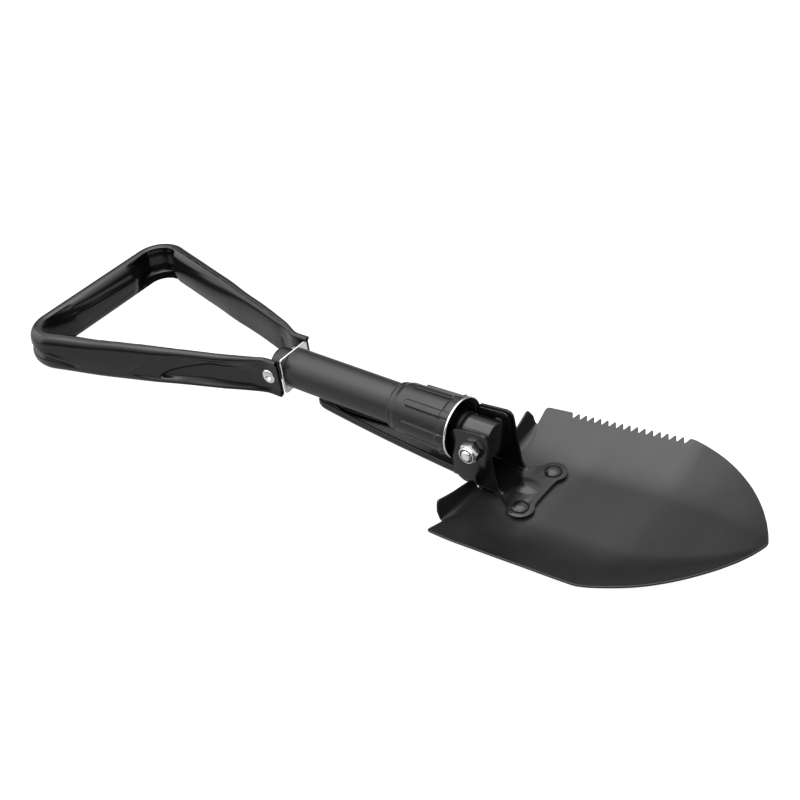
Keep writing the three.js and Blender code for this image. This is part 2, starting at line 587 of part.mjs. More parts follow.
// Hollow rivet headed over the outer faces of both arms.
const PIVOT_BORE = 3.7, PIVOT_HEAD_R = 5.9;
const headIn = ARM_Y + ARM_FLAT_T / 2 + 0.1, headOut = headIn + 0.9;
piece("handle_rivet", turned([
  [-headOut, PIVOT_BORE], [-headOut, PIVOT_HEAD_R - 0.7], [-headIn, PIVOT_HEAD_R],
  [-headIn, PIVOT_R], [headIn, PIVOT_R], [headIn, PIVOT_HEAD_R],
  [headOut, PIVOT_HEAD_R - 0.7], [headOut, PIVOT_BORE],
], "y"), ZINC, draw).position.x = PIVOT_X;

// ---------------------------------------------------------------- D-handle
// Bent from one tube whose ends are pressed flat.
const ARM_END = -171.0, BEND_X = -186.5, BAR_X = -381.5, CORNER_R = 18.0;
const ARM_MID = { x: -205.5, y: 24.3 }, ARM_SLOPE = 0.3085; // a point on the splayed arm
const GRIP_WALL = 1.25;
// distance along the tube from its nearer end, height, thickness
const GRIP_SECTIONS = [
  [0, 31.0, ARM_FLAT_T], [16, 31.6, ARM_FLAT_T], [28, 29.6, 5.4],
  [54, 28.4, 8.4], [94, 28.4, 10.2], [134, 29.0, 12.6],
  [169, 30.0, 15.6], [209, 31.0, 18.0], [269, 31.4, 19.0],
];
const ROUND_POINTS = 7; // points on each rounded end of the oblong section

// Centre line of the tube from the right end round to the left.
function gripLine() {
  const tilt = Math.atan(ARM_SLOPE);
  const armY = (x) => ARM_MID.y + ARM_SLOPE * (ARM_MID.x - x);
  const cornerX = BAR_X + CORNER_R;
  const cornerY = armY(cornerX) - CORNER_R / Math.cos(tilt);
  const arcStartX = cornerX + CORNER_R * Math.sin(tilt);
  const left = [[ARM_END, ARM_Y], [ARM_END - 9, ARM_Y], [BEND_X, ARM_Y]];
  for (let i = 0; i <= 5; i++) {
    const x = ARM_MID.x + ((arcStartX - ARM_MID.x) * i) / 6;
    left.push([x, armY(x)]);
  }
  for (let i = 0; i <= 7; i++) {
    const angle = Math.PI / 2 - tilt + ((Math.PI / 2 + tilt) * i) / 7;
    left.push([cornerX + CORNER_R * Math.cos(angle), cornerY + CORNER_R * Math.sin(angle)]);
  }
  left.push([BAR_X, cornerY * 0.45]);
  const right = left.map(([x, y]) => [x, -y]);
  return [...right, ...left.reverse()].map(([x, y]) => new THREE.Vector2(x, y));
}

const line = gripLine();
const lastPoint = line.length - 1;
const run = [0]; // distance along the tube at each point
for (let i = 1; i <= lastPoint; i++) run.push(run[i - 1] + line[i].distanceTo(line[i - 1]));

// Oblong rings across the tube, shrunk all round and carried past both open ends.
function gripRings(shrink, overrun) {
  return line.map((point, i) => {
    const isEnd = i === 0 || i === lastPoint;
    const before = line[Math.max(0, i - 1)];
    const after = line[Math.min(lastPoint, i + 1)];
    const heading = after.clone().sub(before).normalize();
    // Rings at bends are widened so that the tube keeps its thickness.
    const mitre = isEnd ? 1 : point.clone().sub(before).normalize().dot(heading);
    const fromEnd = Math.min(run[i], run[lastPoint] - run[i]);
    const height = lookUp(GRIP_SECTIONS, fromEnd, 1) - 2 * shrink;
    const radius = lookUp(GRIP_SECTIONS, fromEnd, 2) / 2 - shrink;
    const x = point.x + (isEnd ? overrun : 0);
    const ring = [];
    for (let j = 2 * ROUND_POINTS - 1; j >= 0; j--) {
      const upper = j < ROUND_POINTS;
      const step = (Math.PI * (j % ROUND_POINTS)) / (ROUND_POINTS - 1);
      const angle = step + (upper ? 0 : Math.PI);
      const across = (radius * Math.cos(angle)) / mitre;
      const z = (upper ? 1 : -1) * (height / 2 - radius) + radius * Math.sin(angle);
      ring.push(vec3(x - heading.y * across, point.y + heading.x * across, z));
    }
    return ring;
  });
}

piece("handle_grip", cut(
  skin(gripRings(0, 0)), skin(gripRings(GRIP_WALL, 2)),
  holeY(PIVOT_R + RUN, PIVOT_X)), GLOSS_BLACK, grip);

export default shovel;
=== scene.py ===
# Folding camp shovel, packed: blade, pick, lock collar, shaft and D-handle.
# Shapes are written in millimetres about the hinge bolt, which lies along Y. The shaft and the
# handle run towards -X, the blade towards +X, and Z is up. "Left" is +Y, "front" is +X.
# They are placed in the frame in metres.
import json
import math

import bmesh
import bpy
import numpy as np
from mathutils import Matrix, Vector


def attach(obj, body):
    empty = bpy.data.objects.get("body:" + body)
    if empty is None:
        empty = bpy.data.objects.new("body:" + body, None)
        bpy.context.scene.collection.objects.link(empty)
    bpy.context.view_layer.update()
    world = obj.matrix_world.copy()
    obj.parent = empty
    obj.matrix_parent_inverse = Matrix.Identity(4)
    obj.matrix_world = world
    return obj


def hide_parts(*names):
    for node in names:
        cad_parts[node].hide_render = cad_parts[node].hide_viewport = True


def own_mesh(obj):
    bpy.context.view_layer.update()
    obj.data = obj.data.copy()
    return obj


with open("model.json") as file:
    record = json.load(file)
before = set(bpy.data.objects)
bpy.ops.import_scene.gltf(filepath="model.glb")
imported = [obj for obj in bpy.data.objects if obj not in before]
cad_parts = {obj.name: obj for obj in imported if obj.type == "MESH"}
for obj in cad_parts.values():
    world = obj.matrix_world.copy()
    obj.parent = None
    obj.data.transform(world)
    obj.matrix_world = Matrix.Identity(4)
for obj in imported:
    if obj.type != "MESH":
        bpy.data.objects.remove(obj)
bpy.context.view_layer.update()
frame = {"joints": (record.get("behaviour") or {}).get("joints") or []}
joints = {joint["name"]: joint for joint in frame["joints"]}
HINGE = np.array(joints["blade_fold"]["pos_m"], float)
MM = 0.001
pi = math.pi


# ------------------------------------------------------------------ objects
def to_frame(points):
    """Millimetres about the hinge to metres in the frame."""
    return np.asarray(points, float).reshape(-1, 3) * MM + HINGE


def tidy(mesh, merge=0):
    """Turns the normals outward, after merging vertices closer than merge millimetres."""
    bm = bmesh.new()
    bm.from_mesh(mesh)
    if merge:
        bmesh.ops.remove_doubles(bm, verts=bm.verts, dist=merge * MM)
        bmesh.ops.dissolve_degenerate(bm, edges=bm.edges, dist=merge * MM)
    bmesh.ops.recalc_face_normals(bm, faces=bm.faces)
    bm.to_mesh(mesh)
    bm.free()


def new_object(name, shape):
    """An object from a (vertices, faces) shape in millimetres."""
    verts, faces = shape
    mesh = bpy.data.meshes.new(name)
    mesh.from_pydata(to_frame(verts).tolist(), [], faces)
    mesh.update()
    ob = bpy.data.objects.new(name, mesh)
    bpy.context.scene.collection.objects.link(ob)
    tidy(mesh)
    return ob


def look(node, shape):
    """The object that stands in for one CAD node."""
    return new_object(node + "_look", shape)


def apply_modifiers(ob):
    bpy.context.view_layer.update()
    depsgraph = bpy.context.evaluated_depsgraph_get()
    mesh = bpy.data.meshes.new_from_object(ob.evaluated_get(depsgraph))
    ob.modifiers.clear()
    ob.data = mesh


def boolean(ob, shapes, operation="DIFFERENCE"):
    cutters = []
    for i, shape in enumerate(shapes):
        cutter = new_object("tmp_cut", shape)
        cutters.append(cutter)
        modifier = ob.modifiers.new("b%d" % i, "BOOLEAN")
        modifier.object = cutter
        modifier.operation = operation
        modifier.solver = "EXACT"
    apply_modifiers(ob)
    for cutter in cutters:
        bpy.data.objects.remove(cutter)


def bevel(ob, width, segments, angle):
    """Rounds the edges that turn by more than angle degrees."""
    modifier = ob.modifiers.new("edge", "BEVEL")
    modifier.width = width * MM
    modifier.segments = segments
    modifier.limit_method = "ANGLE"
    modifier.angle_limit = math.radians(angle)
    modifier.use_clamp_overlap = True
    modifier.miter_outer = "MITER_ARC"
    apply_modifiers(ob)


MATERIALS = {}


def finish(ob, body, slot, angle=32, material=None):
    """Shades a look, smooth below angle degrees, gives it the material of its slot or the one named
    by material, and hands it to its body.
    """
    mesh = ob.data
    mesh.polygons.foreach_set("use_smooth", [True] * len(mesh.polygons))
    mesh.set_sharp_from_angle(angle=math.radians(angle))
    mesh.update()
    mesh.materials.clear()
    mesh.materials.append(MATERIALS[material or slot])
    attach(ob, body)
    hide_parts(ob.name.removesuffix("_look"))


# ------------------------------------------------------------------ curves
def ease(start, end, x):
    """Smooth step from 0 at start to 1 at end."""
    part = min(max((x - start) / (end - start), 0.0), 1.0)
    return part * part * (3 - 2 * part)


def fade(start, end, x):
    """Smooth step from 1 at start to 0 at end."""
    return 1 - ease(start, end, x)


def bell(x, centre, width):
    return math.exp(-((x - centre) / width) ** 2)


def interpolate(rows, x):
    """Straight lines through (x, value) rows."""
    return float(np.interp(x, *zip(*rows)))


def smooth_table(rows, column):
    """Monotone cubic through one column of a table whose first column rises."""
    xs = np.array([row[0] for row in rows], float)
    ys = np.array([row[column] for row in rows], float)
    gaps = np.diff(xs)
    rates = np.diff(ys) / gaps
    slopes = np.zeros(len(xs))
    slopes[0], slopes[-1] = rates[0], rates[-1]
    for i in range(1, len(xs) - 1):
        if rates[i - 1] * rates[i] > 0:
            before = 2 * gaps[i] + gaps[i - 1]
            after = gaps[i] + 2 * gaps[i - 1]
            slopes[i] = (before + after) / (before / rates[i - 1] + after / rates[i])

    def value(x):
        x = float(min(max(x, xs[0]), xs[-1]))
        i = int(min(max(np.searchsorted(xs, x) - 1, 0), len(gaps) - 1))
        part = (x - xs[i]) / gaps[i]
        return (
            (2 * part**3 - 3 * part**2 + 1) * ys[i]
            + (part**3 - 2 * part**2 + part) * gaps[i] * slopes[i]
            + (-2 * part**3 + 3 * part**2) * ys[i + 1]
            + (part**3 - part**2) * gaps[i] * slopes[i + 1]
        )

    return value


def unit(vector):
    return vector / max(np.linalg.norm(vector), 1e-12)


def fillet(corners, radius=0, steps=4, closed=False):
    """Rounds a 2-D polyline. A corner is (a, b), or (a, b, its own radius)."""
    count = len(corners)
    radii = [corner[2] if len(corner) == 3 else radius for corner in corners]
    points = [np.array(corner[:2], float) for corner in corners]
    out = []
    for i, point in enumerate(points):
        before = points[i - 1] - point
        after = points[(i + 1) % count] - point
        before_length, after_length = np.linalg.norm(before), np.linalg.norm(after)
        loose_end = not closed and i in (0, count - 1)
        if loose_end or radii[i] <= 0 or min(before_length, after_length) < 1e-9:
            out.append(point)
            continue
        before, after = before / before_length, after / after_length
        angle = math.acos(float(np.clip(before @ after, -1, 1)))
        if angle > pi - 0.02:     # nearly straight
            out.append(point)
            continue
        reach = min(radii[i] / math.tan(angle / 2), before_length * 0.49, after_length * 0.49)
        arc_radius = reach * math.tan(angle / 2)
        bisector = (before + after) / np.linalg.norm(before + after)
        centre = point + bisector * (arc_radius / math.sin(angle / 2))
        start, end = point + before * reach - centre, point + after * reach - centre
        start_turn, end_turn = math.atan2(start[1], start[0]), math.atan2(end[1], end[0])
        sweep = (end_turn - start_turn + pi) % (2 * pi) - pi
        for k in range(steps + 1):
            turn = start_turn + sweep * k / steps
            out.append(centre + arc_radius * np.array([math.cos(turn), math.sin(turn)]))
    return out


def densify(points, step):
    """Splits the sides of a closed outline into lengths of at most step."""
    out = []
    for i in range(len(points)):
        start = np.array(points[i], float)
        side = np.array(points[(i + 1) % len(points)], float) - start
        parts = max(1, int(math.ceil(np.linalg.norm(side) / step)))
        out += [start + side * j / parts for j in range(parts)]
    return out


# ------------------------------------------------------------------ shapes: (vertices, faces)
# where a point goes that stands at (along, cosine part, sine part) of a turning
TURNED = {
    "x": lambda along, cosine, sine: (along, cosine, sine),
    "y": lambda along, cosine, sine: (sine, along, cosine),
    "z": lambda along, cosine, sine: (cosine, sine, along),
}
# where an outline point goes; the first letter of the plane is its first coordinate
PLANES = {
    "xy": lambda point, height: (point[0], point[1], height),
    "xz": lambda point, height: (point[0], height, point[1]),
    "yz": lambda point, height: (height, point[0], point[1]),
    "zx": lambda point, height: (point[1], height, point[0]),
}


def lathe(profile, sides, axis, at=(0, 0, 0), relief=None):
    """Turns (along, radius) points. relief(along, radius, turn) may change the radius."""
    place = TURNED[axis]
    verts, faces, rows = [], [], []
    for along, radius in profile:
        if radius < 1e-6:
            rows.append([len(verts)])
            verts.append(np.array(place(along, 0, 0)) + at)
            continue
        rows.append(list(range(len(verts), len(verts) + sides)))
        for j in range(sides):
            turn = 2 * pi * j / sides
            reach = relief(along, radius, turn) if relief else radius
            verts.append(np.array(place(along, reach * math.cos(turn), reach * math.sin(turn))) + at)
    pairs = list(zip(rows[:-1], rows[1:]))
    if len(rows[0]) > 1:          # the profile is a loop clear of the axis
        pairs.append((rows[-1], rows[0]))
    for this, following in pairs:
        for j in range(sides):
            k = (j + 1) % sides
            if len(this) == 1:
                faces.append((this[0], following[j], following[k]))
            elif len(following) == 1:
                faces.append((this[j], following[0], this[k]))
            else:
                faces.append((this[j], following[j], following[k], this[k]))
    return verts, faces


def cylinder(radius, start, end, axis, sides, at=(0, 0, 0)):
    return lathe([(start, 0), (start, radius), (end, radius), (end, 0)], sides, axis, at)


def sleeve(inner, outer, start, end, axis, sides, edge, at=(0, 0, 0)):
    """A round tube or washer with its edges rounded."""
    corners = [(start, inner), (start, outer), (end, outer), (end, inner)]
    return lathe(fillet(corners, edge, closed=True), sides, axis, at)


def prism(outline, start, end, plane):
    """A 2-D outline pushed out between start and end."""
    place = PLANES[plane]
    count = len(outline)
    verts = [place(point, height) for height in (start, end) for point in outline]
    faces = [tuple(range(count - 1, -1, -1)), tuple(range(count, 2 * count))]
    for i in range(count):
        k = (i + 1) % count
        faces.append((i, k, count + k, count + i))
    return verts, faces


def loft(rings):
    """A capped skin over rings of equal count."""
    count = len(rings[0])
    verts = [tuple(point) for ring in rings for point in ring]
    faces = []
    for i in range(len(rings) - 1):
        for j in range(count):
            a, b = i * count + j, i * count + (j + 1) % count
            faces.append((a, b, b + count, a + count))
    last = (len(rings) - 1) * count
    faces.append(tuple(range(count - 1, -1, -1)))
    faces.append(tuple(range(last, last + count)))
    return verts, faces


def grid_faces(rows, columns):
    starts = [i * columns + j for i in range(rows - 1) for j in range(columns - 1)]
    return [(a, a + columns, a + columns + 1, a + 1) for a in starts]


def thicken(verts, faces, thickness, lip):
    """Gives an open sheet a thickness below its face and a round rim standing lip beyond it."""
    loops = 5
    verts = np.array(verts, float)
    normals = np.zeros_like(verts)
    for face in faces:
        for i in range(1, len(face) - 1):
            triangle = [face[0], face[i], face[i + 1]]
            first, second, third = verts[triangle]
            normals[triangle] += np.cross(second - first, third - first)
    normals /= np.maximum(np.linalg.norm(normals, axis=1), 1e-12)[:, None]

    # a rim edge is used one way round only
    directed = dict.fromkeys(
        (face[i], face[(i + 1) % len(face)]) for face in faces for i in range(len(face)))
    edges = [(a, b) for a, b in directed if (b, a) not in directed]
    following = {a: b for a, b in edges}
    previous = {b: a for a, b in edges}

    count = len(verts)
    skin = [tuple(p) for p in verts] + [tuple(p) for p in verts - normals * thickness]
    skin_faces = [tuple(f) for f in faces] + [tuple(i + count for i in reversed(f)) for f in faces]
    rim = {}
    for v in sorted(following):
        normal = normals[v]
        outward = np.zeros(3)
        for a, b in ((previous[v], v), (v, following[v])):
            outward += np.cross(unit(verts[b] - verts[a]), normal)
        outward = unit(outward)
        rim[v] = [v]
        for k in range(1, loops + 1):
            turn = pi / 2 - pi * k / (loops + 1)
            rim[v].append(len(skin))
            skin.append(tuple(
                verts[v] - normal * thickness / 2
                + outward * lip * math.cos(turn) + normal * (thickness / 2) * math.sin(turn)))
        rim[v].append(v + count)
    for a, b in edges:
        for k in range(loops + 1):
            skin_faces.append((rim[b][k], rim[a][k], rim[a][k + 1], rim[b][k + 1]))
    return skin, skin_faces


def hex_blank(node, across_flats, start, end, axis, barrel, turn=0.0, step=1.3, sides=96):
    """A hexagon along an axis, its corners trimmed by a turned barrel profile."""
    radius = across_flats / math.sqrt(3)
    angles = [turn + k * pi / 3 for k in range(6)]
    hexagon = [(radius * math.cos(a), radius * math.sin(a)) for a in angles]
    plane = {"x": "yz", "y": "zx"}[axis]
    ob = look(node, prism(densify(hexagon, step), start, end, plane))
    boolean(ob, [lathe(barrel, sides, axis)], "INTERSECT")
    return ob


# ------------------------------------------------------------------ materials
class Nodes:
    """The emptied node tree of a material or world, with short ways to add nodes."""

    def __init__(self, owner):
        owner.use_nodes = True
        self.tree = owner.node_tree
        self.tree.nodes.clear()

    def add(self, kind):
        return self.tree.nodes.new("ShaderNode" + kind)

    def feed(self, socket, value):
        """Gives a socket a link, a colour or a number."""
        if hasattr(value, "is_linked"):
            self.tree.links.new(value, socket)
        elif hasattr(value, "__len__"):
            socket.default_value = (*value, 1)
        else:
            socket.default_value = value

    def noise(self, scale, detail, roughness, stretch=None):
        node = self.add("TexNoise")
        node.inputs["Scale"].default_value = scale
        node.inputs["Detail"].default_value = detail
        node.inputs["Roughness"].default_value = roughness
        coords = self.coords
        if stretch:
            mapping = self.add("Mapping")
            mapping.inputs["Scale"].default_value = stretch
            self.feed(mapping.inputs[0], coords)
            coords = mapping.outputs[0]
        self.feed(node.inputs["Vector"], coords)
        return node.outputs["Fac"]

    def ramp(self, factor, stops):
        """stops are (position, grey value or colour)."""
        node = self.add("ValToRGB")
        elements = node.color_ramp.elements
        while len(elements) < len(stops):
            elements.new(0.5)
        for element, (position, value) in zip(elements, stops):
            element.position = position
            element.color = (*value, 1) if hasattr(value, "__len__") else (value, value, value, 1)
        self.feed(node.inputs[0], factor)
        return node.outputs[0]

    def mix(self, factor, first, second):
        node = self.add("Mix")
        node.data_type = "RGBA"
        node.blend_type = "MIX"
        for i, value in ((0, factor), (6, first), (7, second)):
            self.feed(node.inputs[i], value)
        return node.outputs[2]

    def math(self, operation, first, second):
        node = self.add("Math")
        node.operation = operation
        self.feed(node.inputs[0], first)
        self.feed(node.inputs[1], second)
        return node.outputs[0]

    def bumps(self, layers):
        """layers are (height socket, distance in metres, strength)."""
        normal = None
        for height, distance, strength in layers:
            node = self.add("Bump")
            node.inputs["Distance"].default_value = distance
            node.inputs["Strength"].default_value = strength
            self.feed(node.inputs["Height"], height)
            if normal is not None:
                self.feed(node.inputs["Normal"], normal)
            normal = node.outputs[0]
        self.feed(self.shader.inputs["Normal"], normal)


def new_material(name):
    MATERIALS[name] = bpy.data.materials.new(name)
    nodes = Nodes(MATERIALS[name])
    output = nodes.add("OutputMaterial")
    nodes.shader = nodes.add("BsdfPrincipled")
    nodes.feed(output.inputs[0], nodes.shader.outputs[0])
    nodes.coords = nodes.add("TexCoord").outputs["Object"]
    return nodes


def scaled(colour, factor, offset=0.0):
    return tuple(part * factor + offset for part in colour)


def paint(name, base, worn, rough, spread, peel, grain, wear, dust):
    """Dark paint. peel and grain are (noise scale, bump distance in metres, strength)."""
    nodes = new_material(name)
    inputs = nodes.shader.inputs
    # broad mottling, then fine pale specks
    tone = nodes.noise(scale=22, detail=4, roughness=0.6)
    specks = nodes.noise(scale=900, detail=2, roughness=0.5)
    mottle = nodes.ramp(tone, [(0.3, 0.0), (0.7, 1.0)])
    colour = nodes.mix(mottle, scaled(base, 0.82), scaled(base, 1.2))
    dusting = nodes.ramp(specks, [(0.62, 0.0), (0.80, dust)])
    colour = nodes.mix(dusting, colour, scaled(base, 2.6))
    # edges rubbed through in patches
    pointiness = nodes.add("NewGeometry").outputs["Pointiness"]
    edge = nodes.ramp(pointiness, [(0.53, 0.0), (0.60, 1.0)])
    patches = nodes.noise(scale=160, detail=4, roughness=0.65)
    rub = nodes.ramp(patches, [(0.42, 0.0), (0.62, 1.0)])
    worn_part = nodes.math("MULTIPLY", nodes.math("MULTIPLY", edge, rub), wear)
    nodes.feed(inputs["Base Color"], nodes.mix(worn_part, colour, worn))
    # uneven gloss with drawn-out scuffs
    uneven = nodes.noise(scale=45, detail=5, roughness=0.6)
    gloss = nodes.ramp(uneven, [(0.25, rough - spread), (0.75, rough + spread)])
    scratches = nodes.noise(scale=420, detail=3, roughness=0.6, stretch=(1.0, 0.25, 1.0))
    scuffs = nodes.ramp(scratches, [(0.60, 0.0), (0.85, 0.10)])
    nodes.feed(inputs["Roughness"], nodes.math("ADD", gloss, scuffs))
    inputs["Coat Roughness"].default_value = 0.12
    peel_height = nodes.noise(scale=peel[0], detail=2, roughness=0.4)
    grain_height = nodes.noise(scale=grain[0], detail=3, roughness=0.6)
    nodes.bumps([(peel_height, *peel[1:]), (grain_height, *grain[1:])])


def metal(name, base, dull, rough, spread, scratches, streak=(1, 1, 1)):
    """Bare or plated metal. streak stretches the fine lines, scratches is their bump strength."""
    nodes = new_material(name)
    inputs = nodes.shader.inputs
    tone = nodes.noise(scale=60, detail=4, roughness=0.6)
    colour = nodes.mix(nodes.ramp(tone, [(0.35, 0.0), (0.7, 1.0)]), base, dull)
    specks = nodes.noise(scale=500, detail=2, roughness=0.5)
    colour = nodes.mix(nodes.ramp(specks, [(0.60, 0.0), (0.85, 0.35)]), colour, dull)
    nodes.feed(inputs["Base Color"], colour)
    inputs["Metallic"].default_value = 1.0
    lines = nodes.noise(scale=900, detail=3, roughness=0.7, stretch=streak)
    gloss = nodes.ramp(lines, [(0.3, rough - spread), (0.7, rough + spread)])
    nodes.feed(inputs["Roughness"], gloss)
    waves = nodes.noise(scale=240, detail=2, roughness=0.4)
    nodes.bumps([(lines, 0.000006, scratches), (waves, 0.00002, 0.12)])
    return nodes


def plastic(name, base, rough):
    nodes = new_material(name)
    inputs = nodes.shader.inputs
    tone = nodes.noise(scale=30, detail=4, roughness=0.6)
    mottle = nodes.ramp(tone, [(0.3, 0.0), (0.7, 1.0)])
    colour = nodes.mix(mottle, scaled(base, 0.85), scaled(base, 1.2))
    # edges a little paler
    pointiness = nodes.add("NewGeometry").outputs["Pointiness"]
    edge = nodes.ramp(pointiness, [(0.54, 0.0), (0.66, 0.35)])
    nodes.feed(inputs["Base Color"], nodes.mix(edge, colour, scaled(base, 2.0, 0.004)))
    # flow lines drawn out along X
    flow = nodes.noise(scale=500, detail=3, roughness=0.6, stretch=(0.06, 1.0, 1.0))
    gloss = nodes.ramp(flow, [(0.3, rough - 0.05), (0.7, rough + 0.07)])
    nodes.feed(inputs["Roughness"], gloss)
    inputs["Specular IOR Level"].default_value = 0.5
    grain = nodes.noise(scale=2200, detail=4, roughness=0.6)
    nodes.bumps([(grain, 0.00003, 0.35), (flow, 0.00002, 0.2)])


def zinc_rim_painted_dark_face():
    """Zinc on the rim of the lock ring; its face inside the rim is painted near-black, a painted
    reflection of the dark hinge in place of bright zinc.
    """
    nodes = metal("zinc_rim_painted_dark_face", base=(0.93, 0.935, 0.94), dull=(0.88, 0.886, 0.895),
                  rough=0.20, spread=0.03, scratches=0.08)
    # distance from the shaft's axis in metres
    split = nodes.add("SeparateXYZ")
    nodes.feed(split.inputs[0], nodes.coords)
    y = split.outputs["Y"]
    height = nodes.math("SUBTRACT", split.outputs["Z"], float(HINGE[2]))
    y_squared = nodes.math("MULTIPLY", y, y)
    height_squared = nodes.math("MULTIPLY", height, height)
    distance = nodes.math("SQRT", nodes.math("ADD", y_squared, height_squared), 0.0)
    # scaled by 40, so that the colours change between radii of 21.15 and 21.30 mm
    rim = nodes.ramp(nodes.math("MULTIPLY", distance, 40.0), [(0.846, 0.0), (0.852, 1.0)])
    socket = nodes.shader.inputs["Base Color"]
    zinc = socket.links[0].from_socket
    # inside a radius of 21.15 mm the zinc gives way to near-black: painted shade for the dark
    # reflection of the hinge on the ring's face
    nodes.feed(socket, nodes.mix(rim, (0.012, 0.012, 0.0125), zinc))


DARK_WORN = (0.03, 0.029, 0.028)
PALE_WORN = (0.05, 0.048, 0.046)
paint("gloss_black_paint", base=(0.0052, 0.0052, 0.0055), worn=DARK_WORN, rough=0.21, spread=0.03,
      peel=(120, 0.00007, 0.18), grain=(1500, 0.000003, 0.06), wear=0.10, dust=0.05)
paint("plug_gloss_paint", base=(0.0045, 0.0045, 0.0047), worn=DARK_WORN, rough=0.13, spread=0.03,
      peel=(160, 0.00004, 0.15), grain=(1500, 0.000003, 0.05), wear=0.05, dust=0.03)
paint("satin_black_paint", base=(0.0066, 0.0066, 0.0069), worn=PALE_WORN, rough=0.33, spread=0.04,
      peel=(300, 0.00003, 0.2), grain=(2400, 0.000010, 0.2), wear=0.25, dust=0.2)
paint("tube_black_paint", base=(0.0110, 0.0108, 0.0106), worn=PALE_WORN, rough=0.33, spread=0.05,
      peel=(420, 0.00003, 0.22), grain=(3000, 0.000010, 0.22), wear=0.12, dust=0.15)
paint("bracket_black_paint", base=(0.0036, 0.0036, 0.0038), worn=DARK_WORN, rough=0.22,
      spread=0.03, peel=(200, 0.00004, 0.15), grain=(2200, 0.000004, 0.10), wear=0.10, dust=0.05)
plastic("black_plastic", base=(0.0058, 0.0056, 0.0054), rough=0.30)
metal("zinc_plate", base=(0.92, 0.925, 0.93), dull=(0.86, 0.866, 0.875),
      rough=0.20, spread=0.03, scratches=0.12)
metal("plain_steel", base=(0.46, 0.455, 0.45), dull=(0.30, 0.295, 0.29),
      rough=0.38, spread=0.08, scratches=0.3, streak=(0.2, 1, 1))
plastic("nylon", base=(0.045, 0.047, 0.052), rough=0.42)
zinc_rim_painted_dark_face()


# ------------------------------------------------------------------ shaft
TUBE_BACK, TUBE_FRONT = -168.9, -24.0
TUBE_RADIUS, TUBE_BORE = 15.0, 13.4
THREAD_BACK, THREAD_FRONT = -70.0, -25.6
THREAD_PITCH, THREAD_DEPTH = 4.0, 0.75
PLUG_BACK, PLUG_FRONT = -60, 8.5
PLUG_WIDE, PLUG_NECK, PLUG_GROOVE = 13.2, 12.4, 11.5    # radii
PIN_AT = (-46, 0, 0)                                    # upright pin through tube and plug
PIN_HOLE = cylinder(2.8, -20, 20, "z", 32, PIN_AT)
HINGE_BORE = 4.35                                       # radius in bush, bracket and pick
HEX_FLATS = 13                                          # bolt head and nut
HEX_BARREL = HEX_FLATS / math.sqrt(3) + 0.05            # just clears the hexagon's corners
HEAD_FACE = 16.45                                       # underside of the bolt head
NUT_FACE, NUT_END = -HEAD_FACE, -24.45


def longest_run(profile, beyond):
    """Index of the longest step along the axis whose ends lie outside radius beyond."""
    def length(i):
        here, there = profile[i], profile[(i + 1) % len(profile)]
        return abs(there[0] - here[0]) if min(here[1], there[1]) > beyond else -1
    return max(range(len(profile)), key=length)


def tube_thread(x, radius, turn):
    if radius <= 14.9:
        return radius
    phase = (x / THREAD_PITCH - turn / (2 * pi)) % 1.0
    tooth = 0.5 - 0.5 * math.cos(2 * pi * phase)
    run_in = ease(THREAD_BACK, THREAD_BACK + 1.5 * THREAD_PITCH, x)
    run_out = fade(THREAD_FRONT - 1.2, THREAD_FRONT, x)
    return radius - THREAD_DEPTH * (run_in * run_out) * (1 - tooth ** 0.7)


def build_tube():
    profile = fillet([(TUBE_BACK, TUBE_BORE, 0.35), (TUBE_BACK, TUBE_RADIUS, 0.45),
                      (TUBE_FRONT, TUBE_RADIUS, 0.6), (TUBE_FRONT, TUBE_BORE, 0.35)], closed=True)
    # the straight outside gets rows, fine where the thread needs them
    after = longest_run(profile, beyond=14.9) + 1
    rows = list(np.arange(-160, -78, 8.0)) + list(np.arange(-71.0, -24.9, 0.45))
    profile[after:after] = [np.array((x, TUBE_RADIUS)) for x in rows]
    tube = look("shaft_tube", lathe(profile, 128, "x", relief=tube_thread))
    boolean(tube, [PIN_HOLE])
    finish(tube, "shaft", "tube_black_paint", angle=40)


def build_plug():
    profile = fillet([
        (PLUG_BACK, 0), (PLUG_BACK, PLUG_WIDE, 1.0), (-24.5, PLUG_WIDE, 0.8),
        (-22.6, PLUG_NECK, 0.5), (-16.5, PLUG_NECK, 0.4), (-16.0, PLUG_GROOVE, 0.25),
        (-15.1, PLUG_GROOVE, 0.25), (-14.6, PLUG_NECK, 0.4), (PLUG_FRONT, PLUG_NECK, 0.9),
        (PLUG_FRONT, 0)])
    plug = look("hinge_plug", lathe(profile, 112, "x"))
    boolean(plug, [cylinder(5.7, -20, 20, "y", 48), PIN_HOLE])
    finish(plug, "shaft", "gloss_black_paint", angle=35, material="plug_gloss_paint")
    half_length, radius = 14.5, 2.5
    pin = fillet([(-half_length, 0), (-half_length, radius, 0.5),
                  (half_length, radius, 0.5), (half_length, 0)])
    finish(look("plug_pin", lathe(pin, 40, "z", PIN_AT)), "shaft", "plain_steel")
    bush = sleeve(HINGE_BORE, 5.4, -12.5, 12.5, "y", 64, edge=0.25)
    finish(look("hinge_bush", bush), "shaft", "plain_steel")


def bolt_thread(y, radius, turn):
    if y > -12 or radius < 3.9:
        return radius
    phase = (y / 1.25 - turn / (2 * pi)) % 1.0
    return radius - 0.55 * abs(2 * phase - 1) ** 0.9 * ease(-11.2, -12.6, y)


